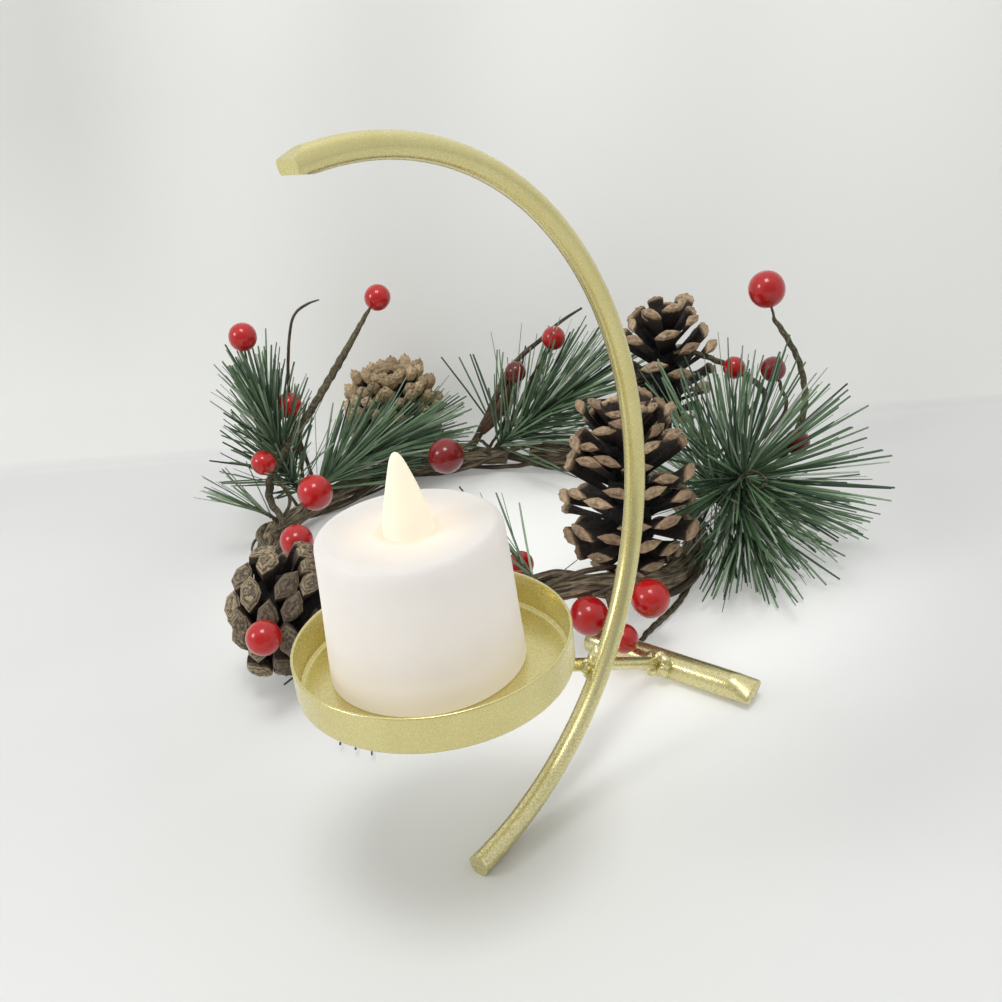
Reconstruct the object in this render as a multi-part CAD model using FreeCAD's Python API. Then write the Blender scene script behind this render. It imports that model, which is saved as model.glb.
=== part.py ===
"""Candle ring: a half-ring candle stand of gold painted rod, an electric candle
and a loose Christmas wreath of vine, cones, berries and pine needles.

Frame: millimetres, +Z up. The table is z = 0. The half ring stands on its foot at
the origin, close to the plane y = 0, and leans back a little. It bulges towards
+X, and the wreath lies behind it, towards +Y.
"""
import FreeCAD, Part

import math
import os

from FreeCAD import Vector

os.makedirs("parts", exist_ok=True)

# Stand: rods and dish
ring_rod_dia = 6.0
ring_radius = 90.7
ring_foot_angle = -89.0
ring_tip_angle = 98.0
ring_lean_angle = 2.7
ring_offset = 0.6
arm_rod_dia = 4.0
foot_bar_dia = 9.0
foot_bar_length = 62.0
foot_bar_offset = 105.0
foot_bar_bevel = 2.4
dish_offset = 3.0
dish_side = 5.0
dish_dia = 67.5
dish_height = 10.0
dish_wall = 0.8
dish_corner = 1.6
dish_underside = 62.6
tip_bevel = 1.5
tip_bevel_length = 5.0

# Stand: weld beads
weld_throat = 2.0
weld_gap = 0.1
weld_pad_radius = 7.0
weld_bead_shares = (-1.35, -1.0, -0.6, 0.0, 0.6, 0.95, 1.15)
weld_collar_shares = [(-1.3, 0.62, 0.62), (-0.7, 0.95, 0.72), (0.3, 1.45, 0.85), (1.4, 1.2, 0.8)]
weld_pad_height = 1.3

# Candle: shell and flame
candle_foot_dia = 48.0
candle_dia = 44.6
candle_height = 36.4
candle_offset = 1.0
candle_side = 3.3
candle_seat_gap = 0.3
shell_wall = 1.8
shell_top = 2.2
shell_edge_radius = 2.6
shell_top_dip = 0.8
flame_hole_dia = 12.6
flame_height = 19.5
flame_tip_dia = 1.6
flame_wall = 1.0
flame_shares = [(1.0, 0.0), (0.93, 0.20), (0.74, 0.45), (0.45, 0.72)]
flame_flange = 1.6
flame_flange_dia = 16.6
fit_gap = 0.1
turn_gap = 0.3

# Candle: base, switch and battery
base_height = 14.0
base_floor = 2.0
base_recess = 0.6
base_wall = 1.4
base_roof = 1.6
cell_dia = 20.0
cell_height = 3.2
cell_chamfer = 0.25
cell_gap = 0.4
cover_dia = 26.0
cover_thickness = 1.6
cover_ledge = 1.2
cover_lug_reach = 1.6
cover_lug_height = 0.8
cover_lug_angle = 26.0
cover_turn_angle = 40.0
cover_slot_length = 12.0
cover_slot_width = 1.8
cover_slot_depth = 0.8
board_length = 24.0
board_width = 16.0
board_thickness = 1.2
board_post = 2.0
chip_length = 4.0
chip_width = 5.0
chip_height = 1.4
led_dia = 5.0
led_rim_dia = 5.8
led_rim_height = 1.0
led_body_height = 5.6
led_lead_width = 0.5
led_lead_gap = 2.54
spring_width = 4.0
spring_thickness = 0.3
spring_length = 12.0
contact_height = 3.0
knob_offset = 16.2
knob_length = 3.2
knob_width = 2.4
knob_travel = 2.5
knob_plate = 0.8
knob_plate_margin = 0.45
switch_height = 3.6
screw_circle_dia = 33.2
screw_head_dia = 2.6
screw_head_height = 1.2
screw_shank_dia = 1.4
screw_length = 6.5

# Wreath: ring of vine
wreath_offset_x = 137.0
wreath_offset_y = 117.0
wreath_radius = 89.0
wreath_height = 120.0
vine_dia = 8.8
vine_axis_height = 8.0
vine_rise_height = 16.5
wrap_dia = 3.0
wrap_turns = 5
vine_steps = 44
wrap_steps = 72
vine_sides = 6

# Wreath: cones, berries and needles
berry_dia = 13.0
berry_rings = 7
berry_sides = 10
stem_dia = 1.5
cone_length = 66.0
cone_dia = 49.5
cone_core_sides = 8
needle_length = 52.0
needle_width = 1.0
needle_table_gap = 0.5
spray_wire_dia = 1.6
tie_wire_dia = 0.9
tie_dia = 14.9
tie_steps = 16

golden_angle = 137.508
draw_in_angle = 172.0
draw_in_width_angle = 60.0
front_angle = 240.0
front_width_angle = 46.0
cut_extra = 5.0


def save(name, *solids):
    """Write one sub-part: one solid, or a group of separate solids."""
    shape = solids[0] if len(solids) == 1 else Part.makeCompound(list(solids))
    shape.exportStep("parts/" + name + ".step")
    volume = sum(s.Volume for s in solids)
    print("%-26s %3d solid(s) %9.1f mm3" % (name, len(solids), volume))
    return shape


def disc(dia, z0, z1, x=0.0, y=0.0):
    return Part.makeCylinder(dia / 2, z1 - z0, Vector(x, y, z0))


def block(length, width, z0, z1, x=0.0, y=0.0):
    corner = Vector(x - length / 2, y - width / 2, z0)
    return Part.makeBox(length, width, z1 - z0, corner)


def polygon_ring(centre, side, up, radius_side, radius_up, sides, turn=0.0):
    """The corners of a polygon round a centre, in the plane of side and up."""
    corners = []
    for i in range(sides):
        a = 2 * math.pi * i / sides + turn
        corners.append(centre + side * (radius_side * math.cos(a)) + up * (radius_up * math.sin(a)))
    return corners


def flat_face(corners):
    return Part.Face(Part.makePolygon(corners + corners[:1]))


def skin(rings):
    """A solid with flat faces, stretched over rings that have as many corners each."""
    faces = [flat_face(rings[0]), flat_face(rings[-1])]
    for near, far in zip(rings, rings[1:]):
        for i in range(len(near)):
            j = (i + 1) % len(near)
            faces.append(flat_face([near[i], near[j], far[j]]))
            faces.append(flat_face([near[i], far[j], far[i]]))
    solid = Part.Solid(Part.Shell(faces))
    if solid.Volume < 0:
        solid.reverse()
    return solid


def tube(points, radii, sides):
    """A few-sided tube through points, its section carried along without twist."""
    steps = []
    for i in range(len(points)):
        ahead = points[min(i + 1, len(points) - 1)]
        behind = points[max(i - 1, 0)]
        steps.append((ahead - behind).normalize())
    side = steps[0].cross(Vector(0, 0, 1))
    if side.Length < 0.1:
        side = steps[0].cross(Vector(1, 0, 0))
    rings = []
    for point, step, radius in zip(points, steps, radii):
        side = (side - step * side.dot(step)).normalize()
        rings.append(polygon_ring(point, side, step.cross(side), radius, radius, sides))
    return skin(rings)


# Stand

ring_centre_z = ring_radius + ring_rod_dia / 2
foot_bar_z = foot_bar_dia / 2
dish_centre = Vector(dish_offset, dish_side, dish_underside)


def ring_point(angle):
    a = math.radians(angle)
    return Vector(ring_radius * math.cos(a), 0, ring_centre_z + ring_radius * math.sin(a))


def make_arc_rod():
    """Half a ring of round rod, leaning back a little, its top end cut to a chisel point."""
    section = Part.Face(Part.Wire(Part.makeCircle(ring_rod_dia / 2, Vector(ring_radius, 0, ring_centre_z),
                                                  Vector(0, 0, 1))))
    section.rotate(Vector(0, 0, ring_centre_z), Vector(0, -1, 0), ring_foot_angle)
    rod = section.revolve(Vector(0, 0, ring_centre_z), Vector(0, -1, 0), ring_tip_angle - ring_foot_angle)
    b = math.radians(ring_tip_angle)
    out = Vector(math.cos(b), 0, math.sin(b))
    along = Vector(-math.sin(b), 0, math.cos(b))
    tip = ring_point(ring_tip_angle)
    across = Vector(0, 1, 0)
    reach = ring_rod_dia / 2
    for sign in (1, -1):
        edge = tip + out * (sign * (reach - tip_bevel))
        back = tip + out * (sign * reach) - along * tip_bevel_length
        slope = edge - back
        clear = out * (sign * cut_extra)
        outline = [edge + slope, back - slope, back - slope + clear, edge + slope + clear]
        wedge = flat_face([p - across * cut_extra for p in outline])
        rod = rod.cut(wedge.extrude(across * (2 * cut_extra)))
    rod.translate(Vector(ring_offset, 0, 0))
    rod.rotate(Vector(0, 0, ring_rod_dia / 2), Vector(1, 0, 0), -ring_lean_angle)
    return rod


def make_foot_bar():
    """The cross bar that lies on the table, with bevelled ends."""
    start = Vector(foot_bar_offset, dish_side - foot_bar_length / 2, foot_bar_z)
    bar = Part.makeCylinder(foot_bar_dia / 2, foot_bar_length, start, Vector(0, 1, 0))
    ends = [e for e in bar.Edges if isinstance(e.Curve, Part.Circle)]
    return bar.makeChamfer(foot_bar_bevel / 2, ends)


def arm_point(share, end_y):
    """A place on the arm's centre line, from the dish's underside to the foot bar."""
    return Vector(dish_offset + (foot_bar_offset - dish_offset) * share,
                  dish_side + (end_y - dish_side) * share,
                  dish_underside + (foot_bar_z - dish_underside) * share)


def find_crossing():
    """Share of the arm's length at which it passes behind the ring."""
    low, high = 0.5, 1.0
    for _ in range(40):
        share = (low + high) / 2
        p = arm_point(share, dish_side)
        inside = math.hypot(p.x - ring_offset, p.z - ring_centre_z) < ring_radius
        low, high = (share, high) if inside else (low, share)
    return share


crossing_share = find_crossing()
crossing_z = arm_point(crossing_share, dish_side).z
ring_back_y = (crossing_z - ring_rod_dia / 2) * math.tan(math.radians(ring_lean_angle)) + ring_rod_dia / 2
arm_crossing_y = ring_back_y + weld_gap + arm_rod_dia / 2
arm_end_y = dish_side + (arm_crossing_y - dish_side) / crossing_share


def arm_axis():
    """Start at the dish's underside and end on the foot bar's centre line."""
    return arm_point(0.0, arm_end_y), arm_point(1.0, arm_end_y)


def make_arm(foot_bar):
    start, end = arm_axis()
    way = (end - start).normalize()
    length = (end - start).Length
    rod = Part.makeCylinder(arm_rod_dia / 2, length + dish_corner, start - way * dish_corner, way)
    above = block(dish_dia, dish_dia, dish_underside, dish_underside + dish_dia, dish_offset, dish_side)
    return rod.cut(above).cut(foot_bar)


def make_dish():
    """A shallow pan spun from sheet, with a rounded corner and a plain rim."""
    r = dish_dia / 2
    z = dish_underside
    k = dish_corner
    s = math.sqrt(0.5)
    outer = Part.Arc(Vector(r - k, 0, z), Vector(r - k + k * s, 0, z + k - k * s), Vector(r, 0, z + k))
    ri = r - dish_wall
    zi = z + dish_wall
    top = z + dish_height
    edges = [
        Part.makeLine(Vector(0, 0, z), Vector(r - k, 0, z)),
        outer.toShape(),
        Part.makeLine(Vector(r, 0, z + k), Vector(r, 0, top)),
        Part.makeLine(Vector(r, 0, top), Vector(ri, 0, top)),
        Part.makeLine(Vector(ri, 0, top), Vector(ri, 0, zi)),
        Part.makeLine(Vector(ri, 0, zi), Vector(0, 0, zi)),
        Part.makeLine(Vector(0, 0, zi), Vector(0, 0, z)),
    ]
    profile = Part.Face(Part.Wire(edges))
    dish = profile.revolve(Vector(0, 0, 0), Vector(0, 0, 1), 360)
    dish.translate(Vector(dish_offset, dish_side, 0))
    return dish


def make_weld_arm_to_arc(arc_rod, arm):
    """A lumpy bead in the angle between ring and arm, with a drip below it."""
    p = arm_point(crossing_share, arm_end_y)
    seam = Vector(p.x, ring_back_y + weld_gap / 2, p.z)
    up = Vector(0, 0, 1)
    reach = arm_rod_dia / 2 + weld_throat
    points = [seam + up * (reach * share) for share in weld_bead_shares]
    radii = [weld_throat * share for share in (0.45, 1.0, 0.85, 1.15, 1.3, 0.9, 0.4)]
    return tube(points, radii, 8).cut(arc_rod).cut(arm)


def make_weld_arm_to_foot(foot_bar, arm):
    """Weld metal round the arm where it meets the foot bar, thicker on both flanks."""
    start, end = arm_axis()
    way = (end - start).normalize()
    root = end - way * (foot_bar_dia / 2)
    rings = []
    for along_share, width_share, height_share in weld_collar_shares:
        centre = root + way * (weld_throat * along_share)
        width = (arm_rod_dia / 2 + weld_throat) * width_share
        height = (arm_rod_dia / 2 + weld_throat) * height_share
        rings.append(polygon_ring(centre, Vector(0, 1, 0), way.cross(Vector(0, 1, 0)), width, height, 10))
    return skin(rings).cut(foot_bar).cut(arm)


def make_weld_arm_to_dish(arm):
    """A low pad of weld metal under the middle of the dish."""
    pad = Part.makeCone(weld_pad_radius - weld_pad_height, weld_pad_radius, weld_pad_height,
                        dish_centre - Vector(0, 0, weld_pad_height))
    return pad.cut(arm)


arc_rod = make_arc_rod()
foot_bar = make_foot_bar()
dish_arm = make_arm(foot_bar)
save("arc_rod", arc_rod)
save("foot_bar", foot_bar)
save("dish_arm", dish_arm)
save("dish", make_dish())
save("weld_arm_to_arc", make_weld_arm_to_arc(arc_rod, dish_arm))
save("weld_arm_to_foot", make_weld_arm_to_foot(foot_bar, dish_arm))
save("weld_arm_to_dish", make_weld_arm_to_dish(dish_arm))


# Candle: all of it is worked out about its own axis, from its base up

candle_x = dish_offset + candle_offset
candle_y = dish_side + candle_side
candle_z = dish_underside + dish_wall + candle_seat_gap
shell_inner_dia = candle_dia - 2 * shell_wall
base_dia = shell_inner_dia - 2 * fit_gap
cover_z0 = base_recess
cover_z1 = cover_z0 + cover_thickness
cell_z0 = cover_z1 + cell_gap
cell_z1 = cell_z0 + cell_height
pocket_dia = cell_dia + 4 * cell_gap
lug_dia = cover_dia + 2 * cover_lug_reach
board_z0 = base_height + board_post
board_z1 = board_z0 + board_thickness
flame_z0 = candle_height - shell_top - flame_flange
led_z0 = flame_z0 - led_rim_height
switch_width = knob_width + 2 * knob_plate_margin + 2 * turn_gap
switch_length = knob_length + knob_travel + 2 * knob_plate_margin + 4 * turn_gap


def place_candle(shape):
    shape.translate(Vector(candle_x, candle_y, candle_z))
    return shape


def ring_sector(inner_dia, outer_dia, z0, z1, from_angle, angle):
    """A piece of a flat ring, as swept by a bayonet lug."""
    section = Part.Face(Part.makePolygon([
        Vector(inner_dia / 2, 0, z0), Vector(outer_dia / 2, 0, z0),
        Vector(outer_dia / 2, 0, z1), Vector(inner_dia / 2, 0, z1), Vector(inner_dia / 2, 0, z0)]))
    section.rotate(Vector(0, 0, 0), Vector(0, 0, 1), from_angle)
    return section.revolve(Vector(0, 0, 0), Vector(0, 0, 1), angle)


def make_candle_shell():
    """The wax-like case: a cup turned over, wider at its foot, with a soft edge and a dipped top."""
    r = candle_dia / 2
    foot_r = candle_foot_dia / 2
    h = candle_height
    e = shell_edge_radius
    s = math.sqrt(0.5)
    hole = flame_hole_dia / 2
    ri = shell_inner_dia / 2
    brim = r - e
    edges = [
        Part.makeLine(Vector(ri, 0, 0), Vector(foot_r, 0, 0)),
        Part.makeLine(Vector(foot_r, 0, 0), Vector(r, 0, h - e)),
        Part.Arc(Vector(r, 0, h - e), Vector(r - e + e * s, 0, h - e + e * s), Vector(brim, 0, h)).toShape(),
        Part.makeLine(Vector(brim, 0, h), Vector(hole, 0, h - shell_top_dip)),
        Part.makeLine(Vector(hole, 0, h - shell_top_dip), Vector(hole, 0, h - shell_top)),
        Part.makeLine(Vector(hole, 0, h - shell_top), Vector(ri, 0, h - shell_top)),
        Part.makeLine(Vector(ri, 0, h - shell_top), Vector(ri, 0, 0)),
    ]
    return Part.Face(Part.Wire(edges)).revolve(Vector(0, 0, 0), Vector(0, 0, 1), 360)


def flame_outline(base_radius, tip_radius, z0, z1):
    """Half outline of a flame: full below, drawn in to a blunt tip."""
    corners = [Vector(base_radius * r, 0, z0 + (z1 - z0) * z) for r, z in flame_shares]
    corners += [Vector(tip_radius, 0, z1 - tip_radius / 2), Vector(0, 0, z1)]
    return [Part.makeLine(near, far) for near, far in zip(corners, corners[1:])]


def make_flame():
    """A thin clear plastic flame on a flange that is glued under the top."""
    neck_r = flame_hole_dia / 2 - fit_gap
    z_top = candle_height + flame_height
    z_seat = candle_height - shell_top
    outline = flame_outline(neck_r, flame_tip_dia / 2, candle_height - shell_top_dip, z_top)
    edges = [Part.makeLine(Vector(0, 0, z_seat), Vector(neck_r, 0, z_seat)),
             Part.makeLine(Vector(neck_r, 0, z_seat), Vector(neck_r, 0, candle_height - shell_top_dip))]
    edges += outline + [Part.makeLine(Vector(0, 0, z_top), Vector(0, 0, z_seat))]
    solid = Part.Face(Part.Wire(edges)).revolve(Vector(0, 0, 0), Vector(0, 0, 1), 360)
    solid = solid.fuse(disc(flame_flange_dia, z_seat - flame_flange, z_seat))
    bore_top = candle_height + flame_height * 0.45
    bore = Part.makeCone(neck_r - flame_wall, flame_wall, bore_top - flame_z0, Vector(0, 0, flame_z0))
    return solid.cut(bore).removeSplitter()


def make_base():
    """The base cup: battery pocket below, screw posts, and a roof that carries the board."""
    base = disc(base_dia, base_recess, base_height)
    base = base.cut(disc(base_dia - 2 * base_wall, cell_z1 + base_roof, base_height + cut_extra))
    base = base.cut(disc(pocket_dia, 0, cell_z1 + cell_gap))
    base = base.cut(disc(cover_dia + 2 * fit_gap, 0, cover_z1 + fit_gap))
    groove_z0 = cover_z1 - cover_lug_height - fit_gap
    for half in (0, 180):
        entry = ring_sector(cover_dia, lug_dia + 2 * fit_gap, 0, cover_z1 + fit_gap,
                            half + cover_turn_angle - cover_lug_angle * 0.6, cover_lug_angle * 1.2)
        run = ring_sector(cover_dia, lug_dia + 2 * fit_gap, groove_z0, cover_z1 + fit_gap,
                          half - cover_lug_angle * 0.6, cover_turn_angle + cover_lug_angle * 1.2)
        base = base.cut(entry).cut(run)
    slot = knob_length + knob_travel + 2 * turn_gap
    base = base.cut(block(knob_width + 2 * turn_gap, slot, 0, base_height + cut_extra, knob_offset,
                          knob_travel / 2))
    base = base.cut(block(switch_width, switch_length, base_recess + base_floor,
                          base_height + cut_extra, knob_offset, knob_travel / 2))
    for x, y in board_posts():
        base = base.fuse(disc(board_post * 1.5, cell_z1 + base_roof, board_z0, x, y))
    for x, y in screw_places():
        boss = disc(screw_head_dia + 2 * base_wall, cell_z1, base_height, x, y)
        base = base.fuse(boss.common(disc(base_dia, 0, base_height)))
        base = base.cut(disc(screw_head_dia + 2 * fit_gap, 0, base_recess + screw_head_height, x, y))
        base = base.cut(disc(screw_shank_dia, 0, base_recess + screw_head_height + screw_length, x, y))
    return base.removeSplitter()


def screw_places():
    """Two screws, across the candle from each other and clear of the lugs."""
    r = screw_circle_dia / 2
    return [(r * math.cos(math.radians(a)), r * math.sin(math.radians(a))) for a in (110, 250)]


def board_posts():
    x = board_length / 2 - board_post
    return [(-x, 0.0), (x * 0.2, board_width / 2 - board_post), (x * 0.2, board_post - board_width / 2)]


def make_cover():
    """Round battery cover with two bayonet lugs and a coin slot."""
    cover = disc(cover_dia - 2 * fit_gap, cover_z0, cover_z1)
    for half in (0, 180):
        lug = ring_sector(cover_dia - 4 * fit_gap, lug_dia - 2 * fit_gap, cover_z1 - cover_lug_height, cover_z1,
                          half - cover_lug_angle / 2, cover_lug_angle)
        cover = cover.fuse(lug)
    slot = block(cover_slot_length, cover_slot_width, 0, cover_z0 + cover_slot_depth)
    return cover.cut(slot).removeSplitter()


def make_cell():
    cell = disc(cell_dia, cell_z0, cell_z1)
    return cell.makeChamfer(cell_chamfer, [e for e in cell.Edges if isinstance(e.Curve, Part.Circle)])


def make_knob():
    """Slide switch knob: the grip in its slot and a plate that keeps it in."""
    z0 = base_recess + fit_gap
    z1 = base_recess + base_floor + fit_gap
    knob = block(knob_width, knob_length, z0, z1, knob_offset)
    plate = block(knob_width + 2 * knob_plate_margin, knob_length + 2 * knob_plate_margin,
                  z1, z1 + knob_plate, knob_offset)
    ribs = [block(knob_width, knob_plate / 2, z0 - fit_gap, z0, knob_offset, y * knob_plate) for y in (-1, 0, 1)]
    return knob.fuse([plate] + ribs).removeSplitter()


def make_switch_body():
    z0 = base_recess + base_floor + knob_plate + 3 * fit_gap
    return block(switch_width - 2 * fit_gap, switch_length - 2 * fit_gap, z0, z0 + switch_height,
                 knob_offset, knob_travel / 2)


def make_board():
    board = block(board_length, board_width, board_z0, board_z1)
    chip = block(chip_length, chip_width, board_z1, board_z1 + chip_height, board_length / 4, 0)
    return board.fuse(chip).removeSplitter()


def make_led():
    rim = disc(led_rim_dia, led_z0, led_z0 + led_rim_height)
    body = disc(led_dia, led_z0 + led_rim_height, led_z0 + led_body_height)
    dome = Part.makeSphere(led_dia / 2, Vector(0, 0, led_z0 + led_body_height))
    return rim.fuse([body, dome]).removeSplitter()


def make_led_leads():
    return [block(led_lead_width, led_lead_width, board_z1, led_z0, 0, s * led_lead_gap / 2) for s in (-1, 1)]


def make_contacts():
    """Flat contact over the cell and a side contact against its edge."""
    roof = cell_z1 + cell_gap
    top = block(spring_length, spring_width, cell_z1, cell_z1 + spring_thickness)
    side_x = -(cell_dia / 2 + spring_thickness / 2)
    side = block(spring_thickness, spring_width, cell_z1 - contact_height, roof, side_x)
    return top, side


def make_base_screws():
    screws = []
    for x, y in screw_places():
        head = disc(screw_head_dia, base_recess, base_recess + screw_head_height, x, y)
        shank = disc(screw_shank_dia, base_recess + screw_head_height,
                     base_recess + screw_head_height + screw_length, x, y)
        screws.append(place_candle(head.fuse(shank).removeSplitter()))
    return screws


save("candle_shell", place_candle(make_candle_shell()))
save("flame_tip", place_candle(make_flame()))
save("base_cup", place_candle(make_base()))
save("battery_cover", place_candle(make_cover()))
save("coin_cell", place_candle(make_cell()))
save("switch_knob", place_candle(make_knob()))
save("switch_body", place_candle(make_switch_body()))
save("circuit_board", place_candle(make_board()))
save("led", place_candle(make_led()))
save("led_leads", *[place_candle(s) for s in make_led_leads()])
contact_top, contact_side = make_contacts()
save("contact_spring", place_candle(contact_top))
save("contact_side", place_candle(contact_side))
save("base_screws", *make_base_screws())


# Wreath: places are a ring angle in degrees, a share of the wreath's radius,
# and a share of its height

def wreath_point(angle, radius_share, height_share):
    a = math.radians(angle)
    reach = wreath_radius * radius_share
    return Vector(wreath_offset_x + reach * math.cos(a), wreath_offset_y + reach * math.sin(a),
                  wreath_height * height_share)


def bump(angle, centre, width):
    """1 at the centre angle, falling smoothly to 0 one width away."""
    away = abs((angle - centre + 180) % 360 - 180) / width
    return 0.5 + 0.5 * math.cos(math.pi * away) if away < 1 else 0.0


def vine_point(angle):
    """The vine's centre line: drawn in at the left, lifted over the foot bar in front."""
    reach_share = 1 - 0.19 * bump(angle, draw_in_angle, draw_in_width_angle)
    reach_share -= 0.075 * bump(angle, front_angle, front_width_angle)
    rise = vine_rise_height * bump(angle, front_angle, front_width_angle)
    p = wreath_point(angle, reach_share, 0)
    p.z = vine_axis_height + rise
    return p


def vine_seat(angle):
    """Where a stem or a spray is bound to the vine: inside it, near its top."""
    return vine_point(angle) + Vector(0, 0, vine_dia * 0.25)


def make_vine():
    angles = [30 + 352 * i / vine_steps for i in range(vine_steps + 1)]
    points = [vine_point(a) for a in angles]
    radii = [vine_dia / 2 * (1 + 0.07 * math.sin(math.radians(7 * a))) for a in angles]
    return tube(points, radii, vine_sides)


def make_wrap(start, phase):
    """A thin vine wound round the ring, its turns leaning with the ring."""
    angles = [start + 350 * i / wrap_steps for i in range(wrap_steps + 1)]
    points = []
    for a in angles:
        core = vine_point(a)
        ahead = (vine_point(a + 1) - core).normalize()
        out = ahead.cross(Vector(0, 0, 1)).normalize()
        up = out.cross(ahead)
        w = math.radians(wrap_turns * a + phase)
        off = vine_dia / 2 + wrap_dia / 2
        points.append(core + out * (off * math.cos(w)) + up * (off * math.sin(w)))
    return tube(points, [wrap_dia / 2] * len(points), vine_sides - 1)


def make_ties():
    """Twists of wire that hold the vines, the cones and the sprays together."""
    ties = []
    for angle in (65, 160, 212, 300, 345):
        core = vine_point(angle)
        ahead = (vine_point(angle + 1) - core).normalize()
        out = ahead.cross(Vector(0, 0, 1)).normalize()
        loop = polygon_ring(core, out, out.cross(ahead), tie_dia / 2, tie_dia / 2, tie_steps)
        ends = [loop[-1] + ahead * (2 * tie_wire_dia), loop[0] + ahead * (2 * tie_wire_dia)]
        ties.append(tube(loop[:-1] + ends[:1], [tie_wire_dia / 2] * tie_steps, 4))
    return ties


cone_core_shares = [(0.0, 0.75), (0.14, 0.95), (0.35, 1.0), (0.65, 0.95), (0.84, 0.85), (0.95, 0.4)]


def cone_fullness(share, fullest_share):
    """How wide the cone is at a share of its height: 1 at the fullest place."""
    level = min(share / fullest_share, (1 - share) / (1 - fullest_share))
    return 0.36 + 0.64 * math.sin(math.pi / 2 * max(level, 0))


def make_cone(foot, axis, length, dia, rows, fullest_share, lifts, width, depth, core_share, head_share):
    """One cone, base at foot: a core with scales set round it at the golden angle.

    lifts are the angles of the scales above square to the axis, at foot and tip.
    """
    axis = axis.normalize()
    side = axis.cross(Vector(0, 0, 1))
    if side.Length < 0.1:
        side = Vector(1, 0, 0)
    side = (side - axis * side.dot(axis)).normalize()
    other = axis.cross(side)
    rings = []
    for level_share, radius_share in cone_core_shares:
        radius = dia / 2 * (core_share + 0.16) * radius_share
        rings.append(polygon_ring(foot + axis * (length * level_share), side, other, radius, radius,
                                  cone_core_sides))
    core = skin(rings)
    scales = []
    root_reach = dia / 2 * core_share
    for i in range(rows):
        share = (i + 0.5) / rows
        full = cone_fullness(share, fullest_share)
        angle = math.radians(golden_angle * i)
        radial = side * math.cos(angle) + other * math.sin(angle)
        across = axis.cross(radial)
        lift = math.radians(lifts[0] + (lifts[1] - lifts[0]) * share)
        way = radial * math.cos(lift) + axis * math.sin(lift)
        normal = way.cross(across)
        reach = (dia / 2 * full - root_reach) / max(math.cos(lift), 0.5)
        root = foot + axis * (length * (0.04 + 0.80 * share)) + radial * root_reach
        size = 0.62 + 0.38 * full
        outlines = []
        for reach_share, width_share, depth_share in ((0.0, 0.16, 0.06), (0.84, 0.43, head_share),
                                                      (0.98, 0.2, head_share * 0.7)):
            outlines.append(polygon_ring(root + way * (reach * reach_share), across, normal,
                                         width * size * width_share, depth * size * depth_share, 4))
        scales.append(skin(outlines))
    return core, scales


cone_table_shares = [
    # name, ring angle, radius share, foot height share, axis, length share, width share, rows, fullest share,
    # lifts in degrees, scale width share and depth share, core share and head share
    ("cone_front_left", 170, 1.15, 0.51, (0.30, -0.95, 0.02), 0.76, 0.96, 46, 0.30, (4, 60), 0.32, 0.27, 0.30, 0.20),
    ("cone_back_left", 60, 1.17, 0.03, (0.02, 0.04, 1.0), 0.78, 0.99, 64, 0.42, (8, 68), 0.28, 0.32, 0.36, 0.20),
    ("cone_front_right", 270, 0.88, 0.31, (0.0, 0.0, 1.0), 1.00, 1.01, 58, 0.34, (-14, 58), 0.31, 0.30, 0.16, 0.11),
    ("cone_back_right", 335, 1.08, 0.65, (-0.06, -0.04, 1.0), 0.82, 0.87, 46, 0.40, (-8, 56), 0.29, 0.28, 0.16, 0.11),
]


def make_berry(centre, radius):
    """A round berry with few faces, blunt at stem and tip."""
    rings = []
    for i in range(berry_rings):
        a = math.pi * (i + 0.5) / berry_rings
        level = centre + Vector(0, 0, radius * math.cos(a))
        rings.append(polygon_ring(level, Vector(1, 0, 0), Vector(0, 1, 0), radius * math.sin(a),
                                  radius * math.sin(a), berry_sides))
    return skin(rings)


# ring angle, radius share, height share and size share of each berry, then the
# places that its stem passes and the angle at which the stem is bound to the vine
berry_table_shares = {
    "left": [
        (102, 1.11, 0.75, 0.93, [(103, 1.12, 0.52), (101, 1.08, 0.30)], 100),
        (63, 0.97, 0.767, 0.91, [(72, 1.00, 0.55), (82, 1.02, 0.34)], 90),
        (97, 0.98, 0.483, 0.86, [(97, 1.02, 0.30)], 96),
        (114, 0.98, 0.350, 0.80, [(112, 1.00, 0.20)], 110),
        (125, 0.69, 0.283, 1.12, [(120, 0.82, 0.20)], 114),
        (152, 0.79, 0.233, 1.00, [(150, 0.84, 0.16)], 146),
        (188.9, 1.347, 0.275, 0.90, [(184, 1.20, 0.45), (180, 0.97, 0.42)], 176),
    ],
    "back": [
        (52, 0.512, 0.235, 1.22, [(44, 0.70, 0.20)], 38),
        (12, 1.02, 0.542, 0.83, [(18, 1.02, 0.36)], 24),
        (24, 0.97, 0.417, 0.77, [(27, 1.01, 0.28)], 30),
    ],
    "right": [
        (312, 1.36, 0.817, 1.08, [(313, 1.42, 0.68), (312, 1.44, 0.50), (310, 1.30, 0.26)], 309),
        (322, 1.30, 0.517, 0.71, [(322, 1.22, 0.34)], 321),
        (317, 1.44, 0.517, 0.79, [(317, 1.34, 0.32)], 316),
        (307, 1.46, 0.333, 0.77, [(306, 1.30, 0.25)], 305),
    ],
    "front": [
        (246.5, 1.035, 0.146, 1.03, [], 250),
        (257.5, 1.155, 0.172, 1.03, [(258, 1.06, 0.19)], 261),
        (249, 1.21, 0.126, 0.75, [(253, 1.11, 0.155)], 256),
        (243, 0.56, 0.167, 0.77, [(243, 0.78, 0.22)], 240),
    ],
}


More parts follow.
